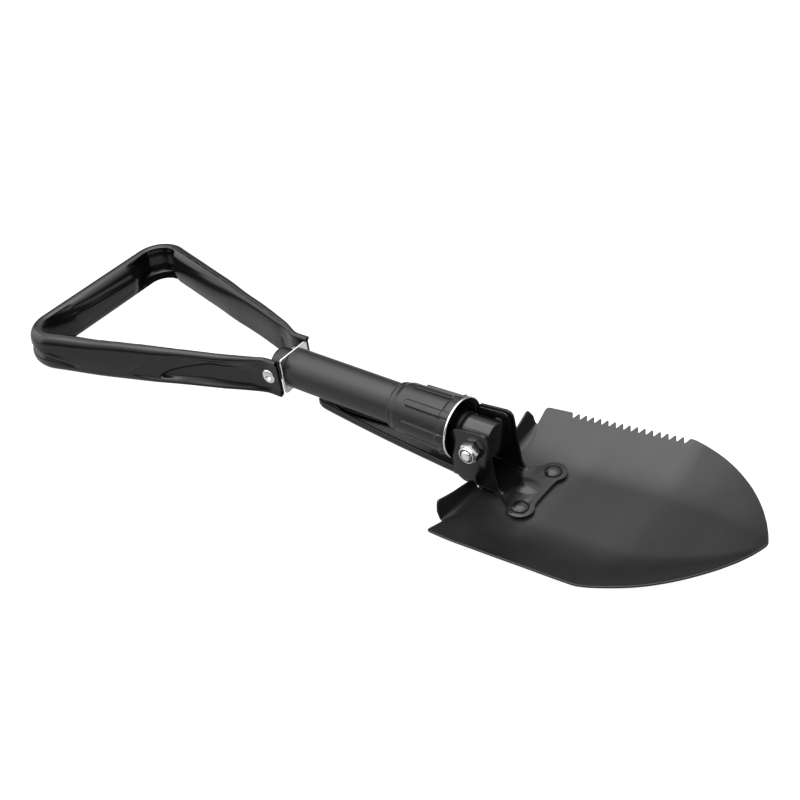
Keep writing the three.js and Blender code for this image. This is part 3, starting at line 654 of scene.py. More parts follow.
def build_bolt():
    face, top = HEAD_FACE, HEAD_FACE + 5.32
    barrel = [(face + 0.3, 0), (face + 0.3, 6.5), (face + 0.9, HEX_BARREL),
              (face + 4.35, HEX_BARREL), (top, 6.0), (top, 0)]
    bolt = hex_blank("hinge_bolt", HEX_FLATS, face + 0.35, face + 5.3, "y", barrel, turn=0.16)
    washer_face = cylinder(6.1, face, face + 0.5, "y", 72)
    # plain shank with a thread towards its tip
    shank = [(-25.35, 0), (-25.35, 3.0), (-24.9, 3.6)]
    shank += [(y, 4.0) for y in np.arange(-24.5, -11.0, 0.125)]
    shank += [(-8, 4.0), (face + 0.4, 4.0), (face + 0.4, 0)]
    boolean(bolt, [washer_face, lathe(shank, 56, "y", relief=bolt_thread)], "UNION")
    # shallow round dish in the top of the head
    dish = fillet([(face + 4.9, 0), (face + 4.9, 3.1, 0.2), (face + 6, 3.9), (face + 6, 0)])
    boolean(bolt, [lathe(dish, 56, "y")])
    tidy(bolt.data, merge=0.01)
    bevel(bolt, width=0.12, segments=2, angle=38)
    finish(bolt, "shaft", "zinc_plate", angle=28)


def build_nut():
    face, end = NUT_FACE, NUT_END
    barrel = [(end + 1.9, 0), (end + 1.9, 6.35), (end + 2.7, HEX_BARREL),
              (face - 0.7, HEX_BARREL), (face, 6.35), (face, 0)]
    nut = hex_blank("hinge_nut", HEX_FLATS, end + 2.0, face, "y", barrel, turn=0.30)
    dome = fillet([(end, 0), (end, 5.05), (end, 5.9, 0.5), (end + 1.1, 6.2, 0.5),
                   (end + 2.1, 6.25, 0.2), (end + 2.4, 6.25), (end + 2.6, 6.2), (end + 2.6, 0)])
    boolean(nut, [lathe(dome, 80, "y")], "UNION")
    boolean(nut, [cylinder(5.2, end - 1, end + 2.0, "y", 80),
                  cylinder(4.2, end - 1, face + 1, "y", 56)])
    tidy(nut.data, merge=0.01)
    bevel(nut, width=0.14, segments=2, angle=38)
    finish(nut, "shaft", "zinc_plate", angle=28)
    insert = fillet([(end + 0.3, 4.15, 0.3), (end + 0.3, 5.0, 0.3),
                     (end + 1.8, 5.0, 0.1), (end + 1.8, 4.15, 0.1)], closed=True)
    finish(look("nut_insert", lathe(insert, 64, "y")), "shaft", "nylon")


def build_end_plate():
    half = 15.1
    square = fillet([(-half, -half), (half, -half), (half, half), (-half, half)],
                    radius=3.0, steps=8, closed=True)
    plate = look("end_plate", prism(square, -170.6, -169.1, "yz"))
    boolean(plate, [cylinder(3.5, -180, -160, "x", 48)])
    bevel(plate, width=0.7, segments=5, angle=40)
    finish(plate, "shaft", "zinc_plate", angle=40)


# ------------------------------------------------------------------ lock collar
COLLAR_BACK, COLLAR_FRONT = -73.0, -20.7
COLLAR_BORE = 15.4
RIB_COUNT, RIB_HALF_WIDTH, RIB_HEIGHT, RIB_BACK = 8, 1.8, 1.5, -59.0
RING_BORE, RING_RADIUS, RING_BACK, RING_FRONT = 15.6, 22.0, -20.5, -18.9


def collar_ribs(x, radius, turn):
    """Lengthwise ribs with a rounded back end and a shallow gutter round each."""
    if radius < 17.8 or x > COLLAR_FRONT - 5.9 or x < -60:
        return radius
    half = RIB_HALF_WIDTH
    spacing = 2 * pi / RIB_COUNT
    offset = ((turn + pi / 8 + math.radians(9)) % spacing) - spacing / 2
    across = abs(offset) * 19.2
    behind = max(0.0, (RIB_BACK + half + 0.3) - x)
    distance = math.hypot(across, behind)
    gutter = 0.35 * ease(half + 0.25, half + 0.6, distance) * fade(half + 0.7, half + 1.4, distance)
    return radius + RIB_HEIGHT * fade(half - 0.1, half + 0.45, distance) - gutter


def build_collar():
    back, front = COLLAR_BACK, COLLAR_FRONT
    profile = fillet([
        (back, COLLAR_BORE, 0.3), (back, 16.6, 0.6), (back + 1.6, 17.3, 0.9),
        (back + 4.4, 17.4, 1.4), (back + 7.2, 18.4, 2.2), (front - 7.8, 19.6, 1.2),
        (front - 6.2, 20.6, 0.8), (front - 0.8, 20.9, 0.6), (front, 20.3, 0.5),
        (front, COLLAR_BORE, 0.3)], closed=True)
    # fine rows where the ribs run
    i = longest_run(profile, beyond=18)
    start, end = profile[i], profile[i + 1]
    profile[i + 1:i + 1] = [start + (end - start) * k / 90 for k in range(1, 90)]
    collar = look("lock_collar", lathe(profile, 880, "x", relief=collar_ribs))
    finish(collar, "collar", "black_plastic", angle=50)
    ring = fillet([(RING_BACK, RING_BORE, 0.25), (RING_BACK, RING_RADIUS, 0.55),
                   (RING_FRONT, RING_RADIUS, 0.55), (RING_FRONT, RING_BORE, 0.3)],
                  steps=6, closed=True)
    # the ring's face carries painted shade, near-black in place of the hinge's dark reflection in
    # the zinc
    finish(look("lock_ring", lathe(ring, 192, "x")), "ring", "zinc_plate", 40, "zinc_rim_painted_dark_face")


# ------------------------------------------------------------------ blade bracket
FLOOR_Z = -33.3                  # upper face of the blade's flat middle
RIVET_X, RIVET_Y = 38.0, 20.7
SIDES = (("left", 1), ("right", -1))
RIVET_HOLES = [cylinder(3.9, -40, -20, "z", 40, (RIVET_X, sign * RIVET_Y, 0)) for _, sign in SIDES]

BRACKET_HALF = 16.3              # half width over the cheeks
BRACKET_WALL = 1.8
BRACKET_BOTTOM, FOOT_TOP = FLOOR_Z + 0.05, FLOOR_Z + 2.5
LOBE_RADIUS = 9.7
CHEEK_REACH = 18.4               # distance from the hinge of the cut-off upper back corner
CHEEK_BACK_Z = math.sqrt(CHEEK_REACH**2 - 17**2)
CHEEK_TOP_X = -math.sqrt(CHEEK_REACH**2 - 12.1**2)
# outline of the cheek: x, z, corner radius
BRACKET_CHEEK = [
    (-17, CHEEK_BACK_Z, 1.0), (-17.6, -16, 0), (-17.9, -20.6, 2.5), (-16.9, -25.4, 3),
    (-14.2, -28.6, 3), (-9.8, -31.6, 2.0), (-9.0, -36, 0), (24.5, -36, 0), (24.5, -31.2, 0),
    (19.8, -30.3, 2.5), (16.4, -26.6, 6), (12.7, 8.5, 3.0), (12.2, 11.2, 1.6),
    (10.2, 13.7, 1.6), (7.4, 14.4, 2.0), (CHEEK_TOP_X, 12.1, 1.6),
    ((CHEEK_TOP_X - 17) / 2 - 0.5, (12.1 + CHEEK_BACK_Z) / 2 + 0.25, 1.5),
]
# left half of the foot, before and after its round lobe: x, y, corner radius
FOOT_BACK = [(-6.0, 11.5, 0), (12.5, 11.5, 0), (14.4, 15.9, 0), (18.5, 16.2, 5.0), (27.2, 21.6, 0)]
FOOT_NOSE = [(45.2, 14.4, 3.0), (44.6, 10.6, 3.0)]
# rivet through foot and blade: z above or below its seat, radius, corner radius
RIVET_HEAD = [(2.55, 0, 0), (2.5, 1.8, 0.8), (2.2, 3.4, 0.8), (1.5, 4.9, 0.8), (0.85, 5.8, 0.6),
              (0.3, 6.15, 0.3), (0, 6.15, 0.15), (0, 3.6, 0.15)]
RIVET_TAIL = [(0, 3.6, 0.15), (0, 5.0, 0.15), (-0.5, 5.0, 0.4), (-1.15, 4.5, 0.5),
              (-1.5, 3.4, 0.4), (-1.5, 0, 0)]


def boss(x, y, base, half_length, half_width, height):
    """A low closed cap over an ellipse, its rim blending into the plate."""
    rings, around = 28, 56
    verts = [(x, y, base + height)]
    for i in range(1, rings + 1):
        part = i / rings
        z = base + height * (0.5 + 0.5 * math.cos(pi * part)) ** 0.7
        for j in range(around):
            turn = 2 * pi * j / around
            verts.append((x + half_length * part * math.cos(turn),
                          y + half_width * part * math.sin(turn), z))
    # a skirt that sinks into the plate
    verts += [(point[0], point[1], base - 1.2) for point in verts[-around:]]
    faces = [(0, 1 + j, 1 + (j + 1) % around) for j in range(around)]
    for i in range(rings):
        for j in range(around):
            a, b = 1 + i * around + j, 1 + i * around + (j + 1) % around
            faces.append((a, a + around, b + around, b))
    skirt = 1 + rings * around
    faces.append(tuple(range(skirt + around - 1, skirt - 1, -1)))
    return verts, faces


def foot_outline():
    lobe = [(RIVET_X + LOBE_RADIUS * math.cos(turn), RIVET_Y + LOBE_RADIUS * math.sin(turn), 0)
            for turn in np.linspace(-0.28, pi * 0.84, 36)]
    left = FOOT_BACK + lobe[::-1] + FOOT_NOSE
    right = [(x, -y, radius) for x, y, radius in left]
    return fillet(right + [(44.5, 0.0)] + left[::-1], steps=3, closed=True)


def build_bracket():
    half, inside = BRACKET_HALF, BRACKET_HALF - BRACKET_WALL
    bottom, top = BRACKET_BOTTOM, FOOT_TOP
    channel = fillet([
        (-half, 22), (-half, bottom, 3.4), (half, bottom, 3.4), (half, 22),
        (inside, 22), (inside, top, 1.5), (-inside, top, 1.5), (-inside, 22)],
        steps=8, closed=True)
    bracket = look("blade_bracket", prism(channel, -20, 24, "yz"))
    cheek = fillet(BRACKET_CHEEK, steps=5, closed=True)
    boolean(bracket, [prism(cheek, -40, 40, "xz")], "INTERSECT")
    boolean(bracket, [prism(foot_outline(), bottom, top, "xy")], "UNION")
    # pressed boss in the middle of the foot
    boolean(bracket, [boss(29.5, -0.5, top - 0.05, 12.0, 8.5, 1.35)], "UNION")
    boolean(bracket, [cylinder(HINGE_BORE, -30, 30, "y", 56), *RIVET_HOLES])
    tidy(bracket.data, merge=0.015)
    bevel(bracket, width=0.30, segments=3, angle=40)
    finish(bracket, "head", "gloss_black_paint", 30, "bracket_black_paint")
    rivet = [(FLOOR_Z + 2.55 + z, radius, corner) for z, radius, corner in RIVET_HEAD]
    rivet += [(FLOOR_Z - 1.55 + z, radius, corner) for z, radius, corner in RIVET_TAIL]
    for side, sign in SIDES:
        shape = lathe(fillet(rivet, steps=3), 72, "z", (RIVET_X, sign * RIVET_Y, 0))
        finish(look("bracket_rivet_" + side, shape), "head", "satin_black_paint",
               40, "bracket_black_paint")


# ------------------------------------------------------------------ blade
# edge of the blade: x, half width, z
EDGE = [
    [0.4, 74.2, -25.2], [20, 75.5, -23.6], [40, 76.1, -21.6], [60, 76.7, -19.6],
    [80, 77.3, -17.5], [100, 78.0, -15.5], [112, 78.2, -14.3], [120, 76.4, -13.7],
    [128, 73.3, -12.9], [136, 69.7, -12.1], [144, 65.4, -11.4], [152, 60.2, -10.7],
    [160, 54.0, -9.9], [168, 46.9, -9.0], [176, 38.5, -8.2], [184, 28.7, -7.5],
    [190, 20.0, -7.0], [195, 10.5, -6.4], [198.5, 3.0, -5.4], [199.4, 0.0, -5.0],
]
# middle line of the blade: x, z
FLOOR_LINE = [
    [0, -33.3], [30, -33.3], [50, -33.3], [72, -31.5], [95, -29.1], [118, -26.7],
    [140, -22.4], [160, -17.4], [180, -11.9], [192, -8], [199.4, -5],
]
# the tip, where it closes like a rounded nose: x, half width
TIP = [(184, 28.7), (190, 20.0), (195, 10.9), (198.0, 4.6), (199.0, 2.0)]
TIP_END = 199.4
# upper edge of the foot tread: distance from the middle, z
TREAD_TOP = [(17.0, -29.6), (17.9, -26.4), (20.0, -24.8), (22, -24.4), (38, -21.2),
             (53.4, -17.2), (54.8, -17.4), (56.0, -19.0), (60.3, -27.5)]
# columns across half the blade, as parts of its half width; close at the tread's ends and the rim
COLUMNS = [
    0, .05, .10, .15, .20, .236, .249, .262, .28, .296, .33, .37, .41, .45, .49, .53, .57, .61,
    .65, .69, .715, .7325, .745, .757, .768, .776, .786, .80, .8126, .825, .84, .86, .88, .90,
    .92, .94, .955, .968, .979, .988, .995, 1.0,
]
BACK_X = 0.4
BACK_CORNER = 2.4                # radius of the back corners in plan
RIM_LIP = 0.45                   # how far the rounded rim stands out
SHEET = 1.5
NOTCH_FIRST, NOTCH_PITCH, NOTCH_DEPTH = 23.2, 5.66, 4.1
TREAD_ANGLE = math.radians(74)

edge_half_width, edge_z = smooth_table(EDGE, 1), smooth_table(EDGE, 2)
floor_z = smooth_table(FLOOR_LINE, 1)


def half_width(x):
    tip_x, tip_width = TIP[-1]
    if x <= TIP[0][0]:
        return edge_half_width(x)
    if x < tip_x:
        return interpolate(TIP, x)
    part = (x - tip_x) / (TIP_END - tip_x)
    return tip_width * math.sqrt(1 - part * part)


def blade_z(x, y):
    """Height of the dished blade: flat in the middle, rising to the edge."""
    part = min(abs(y) / max(half_width(x), 3.0), 1.25)
    rise = 0 if part <= 0.36 else ((part - 0.36) / 0.64) ** 1.6
    return floor_z(x) + (edge_z(x) - floor_z(x)) * rise


def back_edge(y):
    """x of the blade's back edge, drawn forward to make room for the tread."""
    y = abs(y)
    taper = 1 - min(1.0, max(0.0, (y - 60.3) / 12.4))
    return BACK_X + 5.6 * ease(15.4, 17.2, y) * (1 - 0.72 * ease(42, 60.3, y)) * taper


def blade_stations():
    """x of the rows: close at the back edge, along the notches and at the tip."""
    xs = [BACK_X, 0.9, 1.5, 2.2, 3.0, 3.9, 4.9, 6.0, 7.3, 9.0, 11, 13, 15, 17, 19]
    x = 20.0
    while x < 112.2:
        xs.append(x)
        x += NOTCH_PITCH / 12
    x = xs[-1] + 1.2
    while x < 184:
        xs.append(x)
        x += 1.6
    xs += list(np.arange(xs[-1] + 1.0, 196, 0.8))
    return xs + [196.4, 196.9, 197.4, 197.8, 198.2, 198.6, 198.9, 199.1, 199.25, 199.33]


def blade_row(station, columns):
    half = half_width(station)
    behind = station - BACK_X
    corner = BACK_CORNER
    if behind < corner:
        half -= corner - math.sqrt(max(0.0, corner * corner - (corner - behind) ** 2))
    half -= RIM_LIP * fade(190, 199, station)
    notches_start = NOTCH_FIRST - NOTCH_PITCH / 2
    notched = notches_start < station < NOTCH_FIRST + 15.5 * NOTCH_PITCH
    row = []
    for part in columns:
        y = part * half
        if notched and part > 0.80:          # notches along the left edge only
            wave = abs(math.cos(pi * (station - NOTCH_FIRST) / NOTCH_PITCH))
            y -= NOTCH_DEPTH * wave ** 1.25 * ((part - 0.80) / 0.20) ** 0.8
        x = station + (back_edge(y) - BACK_X) * max(0.0, 1 - behind / 16.0)
        row.append((x, y, blade_z(x, y)))
    return row


def tread_profile(height, radius):
    """Twelve steps (dx, dz) of a sheet that curls up and, if tall enough, runs on straight."""
    def arc(angle, steps):
        turns = [angle * k / steps for k in range(1, steps + 1)]
        return [(-radius * math.sin(turn), radius * (1 - math.cos(turn))) for turn in turns]

    rise = radius * (1 - math.cos(TREAD_ANGLE))
    if height <= rise:
        return arc(math.acos(1 - height / radius), 12)
    steps = arc(TREAD_ANGLE, 7)
    length = (height - rise) / math.sin(TREAD_ANGLE)
    x, z = steps[-1]
    return steps + [(x - length * math.cos(TREAD_ANGLE) * k / 5,
                     z + length * math.sin(TREAD_ANGLE) * k / 5) for k in range(1, 6)]


def build_blade():
    stations = blade_stations()
    columns = [-part for part in reversed(COLUMNS[1:])] + COLUMNS
    verts = [point for station in stations for point in blade_row(station, columns)]
    faces = grid_faces(len(stations), len(columns))
    # upturned foot tread along the back edge, either side of the bracket
    for side in (1, -1):
        strips = []
        for j, part in enumerate(columns):
            if not 0.2350 <= side * part <= 0.8130:
                continue
            x, y, z = verts[j]
            height = max(interpolate(TREAD_TOP, abs(y)) - z, 0.6)
            radius = max(1.2, (back_edge(y) - 0.25) / math.sin(TREAD_ANGLE))
            strip = [j]
            for dx, dz in tread_profile(height, radius):
                strip.append(len(verts))
                verts.append((x + dx, y, z + dz))
            strips.append(strip)
        for this, following in zip(strips[:-1], strips[1:]):
            for k in range(12):
                faces.append((this[k + 1], this[k], following[k], following[k + 1]))
    blade = look("blade", thicken(verts, faces, SHEET, RIM_LIP))
    boolean(blade, RIVET_HOLES)
    finish(blade, "head", "satin_black_paint", angle=42)


# ------------------------------------------------------------------ pick
# channel of the pick, from tip to hinge: x, half width, top z, keel z
PICK_STATIONS = [
    (-150.5, 3.0, -21.2, -27.0), (-143, 4.0, -21.4, -28.6), (-125, 5.5, -22.2, -29.8),
    (-100, 7.6, -23.2, -30.8), (-75, 9.7, -24.0, -31.4), (-45, 12.0, -24.2, -31.8),
    (-20, 13.9, -24.2, -31.8), (-12.5, 14.2, -24.2, -31.6),
]
# cheeks that rise to the hinge: x, z, corner radius
PICK_CHEEK = [
    (-13.4, 11.2, 0.6), (-13.9, 10.2, 0.6), (-13.9, -8, 5), (-16.6, -18.6, 8), (-20, -23.2, 4),
    (-20, -30, 0), (-12.6, -30, 3), (-9, -26, 5), (-1, -16, 8), (8.2, -9, 8), (11, -3, 6),
    (11.4, 5, 8), (10.9, 9, 3), (9.4, 11.8, 2), (6.8, 13, 1.5),
]
CHEEK_INSIDE, CHEEK_OUTSIDE = 12.7, 14.2


def build_pick():
    half_at, top_at, keel_at = (smooth_table(PICK_STATIONS, column) for column in (1, 2, 3))
    stations = [-12.5, -13.2] + list(np.arange(-16, -146, -3.0)) + [-146.5, -148.5, -149.8, -150.5]
    rings = []
    for x in stations:
        top, keel = top_at(x), keel_at(x)
        half = half_at(x) * (1 - 0.55 * ease(-146, -150.5, x))
        inside = max(0.5, half - 1.8)
        floor = keel + 2.4
        floor = floor + (top - 0.25 - floor) * ease(-128, -143, x)   # solid towards the tip
        outer_corner, inner_corner = min(3.4, half * .8), min(1.6, inside * .7)
        section = fillet([
            (-half, top, 0.6), (-half, keel, outer_corner), (half, keel, outer_corner),
            (half, top, 0.6), (inside, top, 0.5), (inside, floor, inner_corner),
            (-inside, floor, inner_corner), (-inside, top, 0.5)], steps=5, closed=True)
        rings.append([(x, point[0], point[1]) for point in section])
    pick = look("pick", loft(rings))
    cheek = fillet(PICK_CHEEK, steps=5, closed=True)
    for start, end in ((CHEEK_INSIDE, CHEEK_OUTSIDE), (-CHEEK_OUTSIDE, -CHEEK_INSIDE)):
        boolean(pick, [prism(cheek, start, end, "xz")], "UNION")
    boolean(pick, [cylinder(HINGE_BORE, -20, 20, "y", 56)])
    tidy(pick.data, merge=0.015)
    bevel(pick, width=0.3, segments=2, angle=45)
    finish(pick, "pick", "gloss_black_paint", angle=30)


# ------------------------------------------------------------------ draw gear
PIVOT_X = -180.4                 # cross axis of the handle
PIVOT_AT = (PIVOT_X, 0, 0)
ROD_BACK, ROD_FRONT, ROD_RADIUS = -173.2, -118.0, 3.0
ROD_HOLE = 3.2
SPRING_BACK, SPRING_FRONT = -167.9, -128.2      # ends of the wire's centre line
SPRING_COILS, SPRING_RADIUS, WIRE_RADIUS = 8, 8.2, 0.9
# back half of the handle rivet, mirrored: distance from the middle, radius, corner radius
FLARE = 18.7
RIVET_HALF = [
    (FLARE - 1.1, 0.0, 0), (FLARE - 1.0, 1.7, 0.5), (FLARE + 0.65, 3.2, 0.4),
    (FLARE + 0.98, 4.2, 0.4), (FLARE + 0.92, 5.0, 0.4), (FLARE + 0.50, 5.7, 0.3),
    (FLARE, 5.95, 0.1), (FLARE, 4.8, 0.1),
]
# pivot block: x, radius, corner radius
PIVOT_BLOCK = [(-186.6, 0, 0), (-186.6, 8.2, 1.5), (-185.2, 10.9, 2.0), (-182.6, 12.0, 2.5),
               (-171.6, 12.0, 0.4), (-170.9, 11.3, 0.4), (-170.9, 0, 0)]


def build_rod():
    rod = fillet([(ROD_BACK, 0), (ROD_BACK, ROD_RADIUS, 0.5),
                  (ROD_FRONT, ROD_RADIUS, 0.6), (ROD_FRONT, 0)])
    finish(look("draw_rod", lathe(rod, 48, "x")), "draw", "plain_steel")
    seat = sleeve(3.3, 12.0, -127, -125.4, "x", 80, edge=0.35)
    finish(look("spring_seat", seat), "draw", "plain_steel")
    barrel = [(-125.3, 0), (-125.3, 5.1), (-124.6, 5.9), (-120.8, 5.9), (-120.1, 5.1), (-120.1, 0)]
    nut = hex_blank("rod_nut", 10, -125.2, -120.2, "x", barrel, step=1.5, sides=72)
    boolean(nut, [cylinder(ROD_HOLE, -130, -110, "x", 40)])
    tidy(nut.data, merge=0.01)
    finish(nut, "draw", "plain_steel", angle=28)


def build_spring():
    span = SPRING_FRONT - SPRING_BACK
    steps = SPRING_COILS * 36
    rings = []
    for i in range(steps + 1):
        part = i / steps
        turn = part * SPRING_COILS * 2 * pi
        cosine, sine = math.cos(turn), math.sin(turn)
        centre = np.array([SPRING_BACK + span * part, SPRING_RADIUS * cosine, SPRING_RADIUS * sine])
        tangent = unit(np.array(
            [span / (SPRING_COILS * 2 * pi), -SPRING_RADIUS * sine, SPRING_RADIUS * cosine]))
        radial = np.array([0, cosine, sine])
        binormal = np.cross(tangent, radial)
        rings.append([
            tuple(centre + WIRE_RADIUS * (math.cos(angle) * radial + math.sin(angle) * binormal))
            for angle in np.linspace(0, 2 * pi, 13)[:-1]])
    spring = look("draw_spring", loft(rings))
    finish(spring, "draw", "plain_steel", angle=50)
    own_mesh(spring)


def build_pivot():
    # round block behind the end plate, cross bored for the hollow rivet
    block = look("pivot_block", lathe(fillet(PIVOT_BLOCK, steps=6), 120, "x"))
    for cutter in (cylinder(5.1, -30, 30, "y", 56, PIVOT_AT),
                   cylinder(6.65, 10.6, 20, "y", 60, PIVOT_AT),
                   cylinder(6.65, -20, -10.6, "y", 60, PIVOT_AT),
                   cylinder(ROD_HOLE, -178, -165, "x", 40)):
        boolean(block, [cutter])
    tidy(block.data, merge=0.01)
    bevel(block, width=0.2, segments=2, angle=45)
    finish(block, "draw", "gloss_black_paint")
    for side, sign in SIDES:
        spacer = sleeve(5.1, 6.3, 10.8 * sign, 15.1 * sign, "y", 72, edge=0.25, at=PIVOT_AT)
        finish(look("pivot_spacer_" + side, spacer), "draw", "plain_steel")
    rivet = [(-y, radius, corner) for y, radius, corner in RIVET_HALF] + RIVET_HALF[::-1]
    shape = lathe(fillet(rivet), 72, "y", PIVOT_AT)
    finish(look("handle_rivet", shape), "draw", "zinc_plate", angle=50)


# ------------------------------------------------------------------ D-handle
# tube section: distance from the nearer open end, height, thickness
GRIP = [
    [0, 31.4, 5.2], [10, 31.2, 5.2], [20, 30.6, 5.2], [30, 30.4, 6.4], [54, 30.8, 8.2],
    [84, 31.4, 9.0], [98, 32.0, 10.6], [110, 32.6, 12.2], [134, 32.8, 13.4],
    [169, 32.2, 15.8], [209, 31.6, 18.0], [269, 31.4, 19.0],
]
ARM_FRONT, ARM_Y = -171.0, 17.0  # open ends of the arms
BEND_X = -186.5                  # where the arms begin to spread
FLARE_X, FLARE_Y, FLARE_SLOPE = -205.5, 24.3, 0.3085    # a point on the spread arm, its slope
BAR_X, CORNER_RADIUS = -381.5, 18.0
YAW = math.radians(0.7)          # the handle sits a little out of true on its pivot
GRIP_SIDES, GRIP_STEP, GRIP_WALL = 132, 1.1, 1.25

grip_height, grip_thickness = smooth_table(GRIP, 1), smooth_table(GRIP, 2)


def grip_line():
    """Middle line of the tube in plan, from the right arm's open end round to the left's."""
    tilt = math.atan(FLARE_SLOPE)
    centre_x = BAR_X + CORNER_RADIUS
    centre_y = FLARE_Y + FLARE_SLOPE * (FLARE_X - centre_x) - CORNER_RADIUS / math.cos(tilt)
    arc_start = (centre_x + CORNER_RADIUS * math.sin(tilt),
                 centre_y + CORNER_RADIUS * math.cos(tilt))
    left = fillet([(ARM_FRONT, ARM_Y), (BEND_X + 4, ARM_Y, 26),
                   (FLARE_X + 3, FLARE_Y - 1.2, 40), arc_start], steps=10)
    left += [(centre_x + CORNER_RADIUS * math.cos(turn), centre_y + CORNER_RADIUS * math.sin(turn))
             for turn in np.linspace(pi / 2 - tilt, pi, 40)[1:]]
    cosine, sine = math.cos(YAW), math.sin(YAW)
    return np.array([
        (PIVOT_X + (x - PIVOT_X) * cosine - y * sine, (x - PIVOT_X) * sine + y * cosine)
        for x, y in [(x, -y) for x, y in left] + left[::-1]])


def resample(points, step):
    """Even points along a line, and their distances along it."""
    lengths = np.linalg.norm(np.diff(points, axis=0), axis=1)
    distances = np.r_[0, np.cumsum(lengths)]
    along = np.linspace(0, distances[-1], int(round(distances[-1] / step)) + 1)
    columns = [np.interp(along, distances, points[:, k]) for k in (0, 1)]
    return np.c_[columns[0], columns[1]], along


def terrace(end, level, tip, taper, middle, up, up_power, down, full_from, full_to):
    """One step of the spoon: 1 inside a long shape round the middle level, ending at tip."""
    if end >= tip:
        return 0.0
    part = min(1.0, (tip - end) / taper)
    high, low = middle + up * part ** up_power, middle - down * part ** 0.5
    place = (level - low) / (high - low)
    return ease(0, full_from, place) * fade(full_to, 1.0, place)


def spoon_depth(end, level):
    """Depth pressed into the outside of an arm: a long spoon, two terraces deep.

    end is the distance from the open end, level runs from -1 at the bottom to 1 at the top.
    """
    tip = 128.0
    if end >= tip:
        return 0.0
    first = terrace(end, level, tip, taper=46.0, middle=-0.44, up=1.24, up_power=0.55,
                    down=0.42, full_from=0.11, full_to=0.85)
    second = terrace(end, level, 102, taper=44.0, middle=-0.60, up=1.20, up_power=0.6,
                     down=0.20, full_from=0.24, full_to=0.74)
    flat = ease(-0.95, -0.56, level) * fade(0.72, 0.90, level)
    blend = ease(16, 28, end)     # a plain flat at the open end, the spoon further in
    depth = 4.8 * fade(100, tip + 3, end) ** 0.5 * (0.60 + 0.40 * ease(30, 66, end))
    return (1 - blend) * 1.85 * flat + blend * depth * (0.42 * first + 0.58 * second)


def corner_swell(bend, level):
    """Outside of a corner: a bulge below, a dent above and a crease running from the arm."""
    soft = ease(-0.98, -0.7, level) * fade(0.75, 0.98, level)
    dent = bell(bend, -2, 13) * bell(level, 0.12, 0.20)
    bulge = bell(bend, 2, 14) * bell(level, -0.50, 0.26)
    line = 0.12 + 0.0145 * (bend + 2)      # level of the crease, lower away from the corner
    fold = ease(-46, -34, bend) * fade(-6, 4, bend) * bell(level, line, 0.11)
    ridge = ease(-44, -32, bend) * fade(-8, 2, bend) * bell(level, line + 0.25, 0.13)
    return soft * 1.0, 1.5 * bulge - 3.0 * dent - 2.0 * fold + 0.8 * ridge


def oblong(half_thickness, half_height):
    """Points and normals (out, up, normal out, normal up) round an oblong with round ends."""
    radius = half_thickness
    straight = 2 * (half_height - radius)
    arc = pi * radius
    perimeter = 2 * (straight + arc)
    for j in range(GRIP_SIDES):
        distance = perimeter * j / GRIP_SIDES
        if distance < straight:                    # outer side, going up
            yield radius, -straight / 2 + distance, 1, 0
        elif straight + arc <= distance < 2 * straight + arc:
            yield -radius, straight / 2 - (distance - straight - arc), -1, 0
        else:
            over_top = distance < straight + arc
            turn = ((distance - straight) / radius if over_top
                    else pi + (distance - 2 * straight - arc) / radius)
            middle = straight / 2 if over_top else -straight / 2
            cosine, sine = math.cos(turn), math.sin(turn)
            yield radius * cosine, middle + radius * sine, cosine, sine


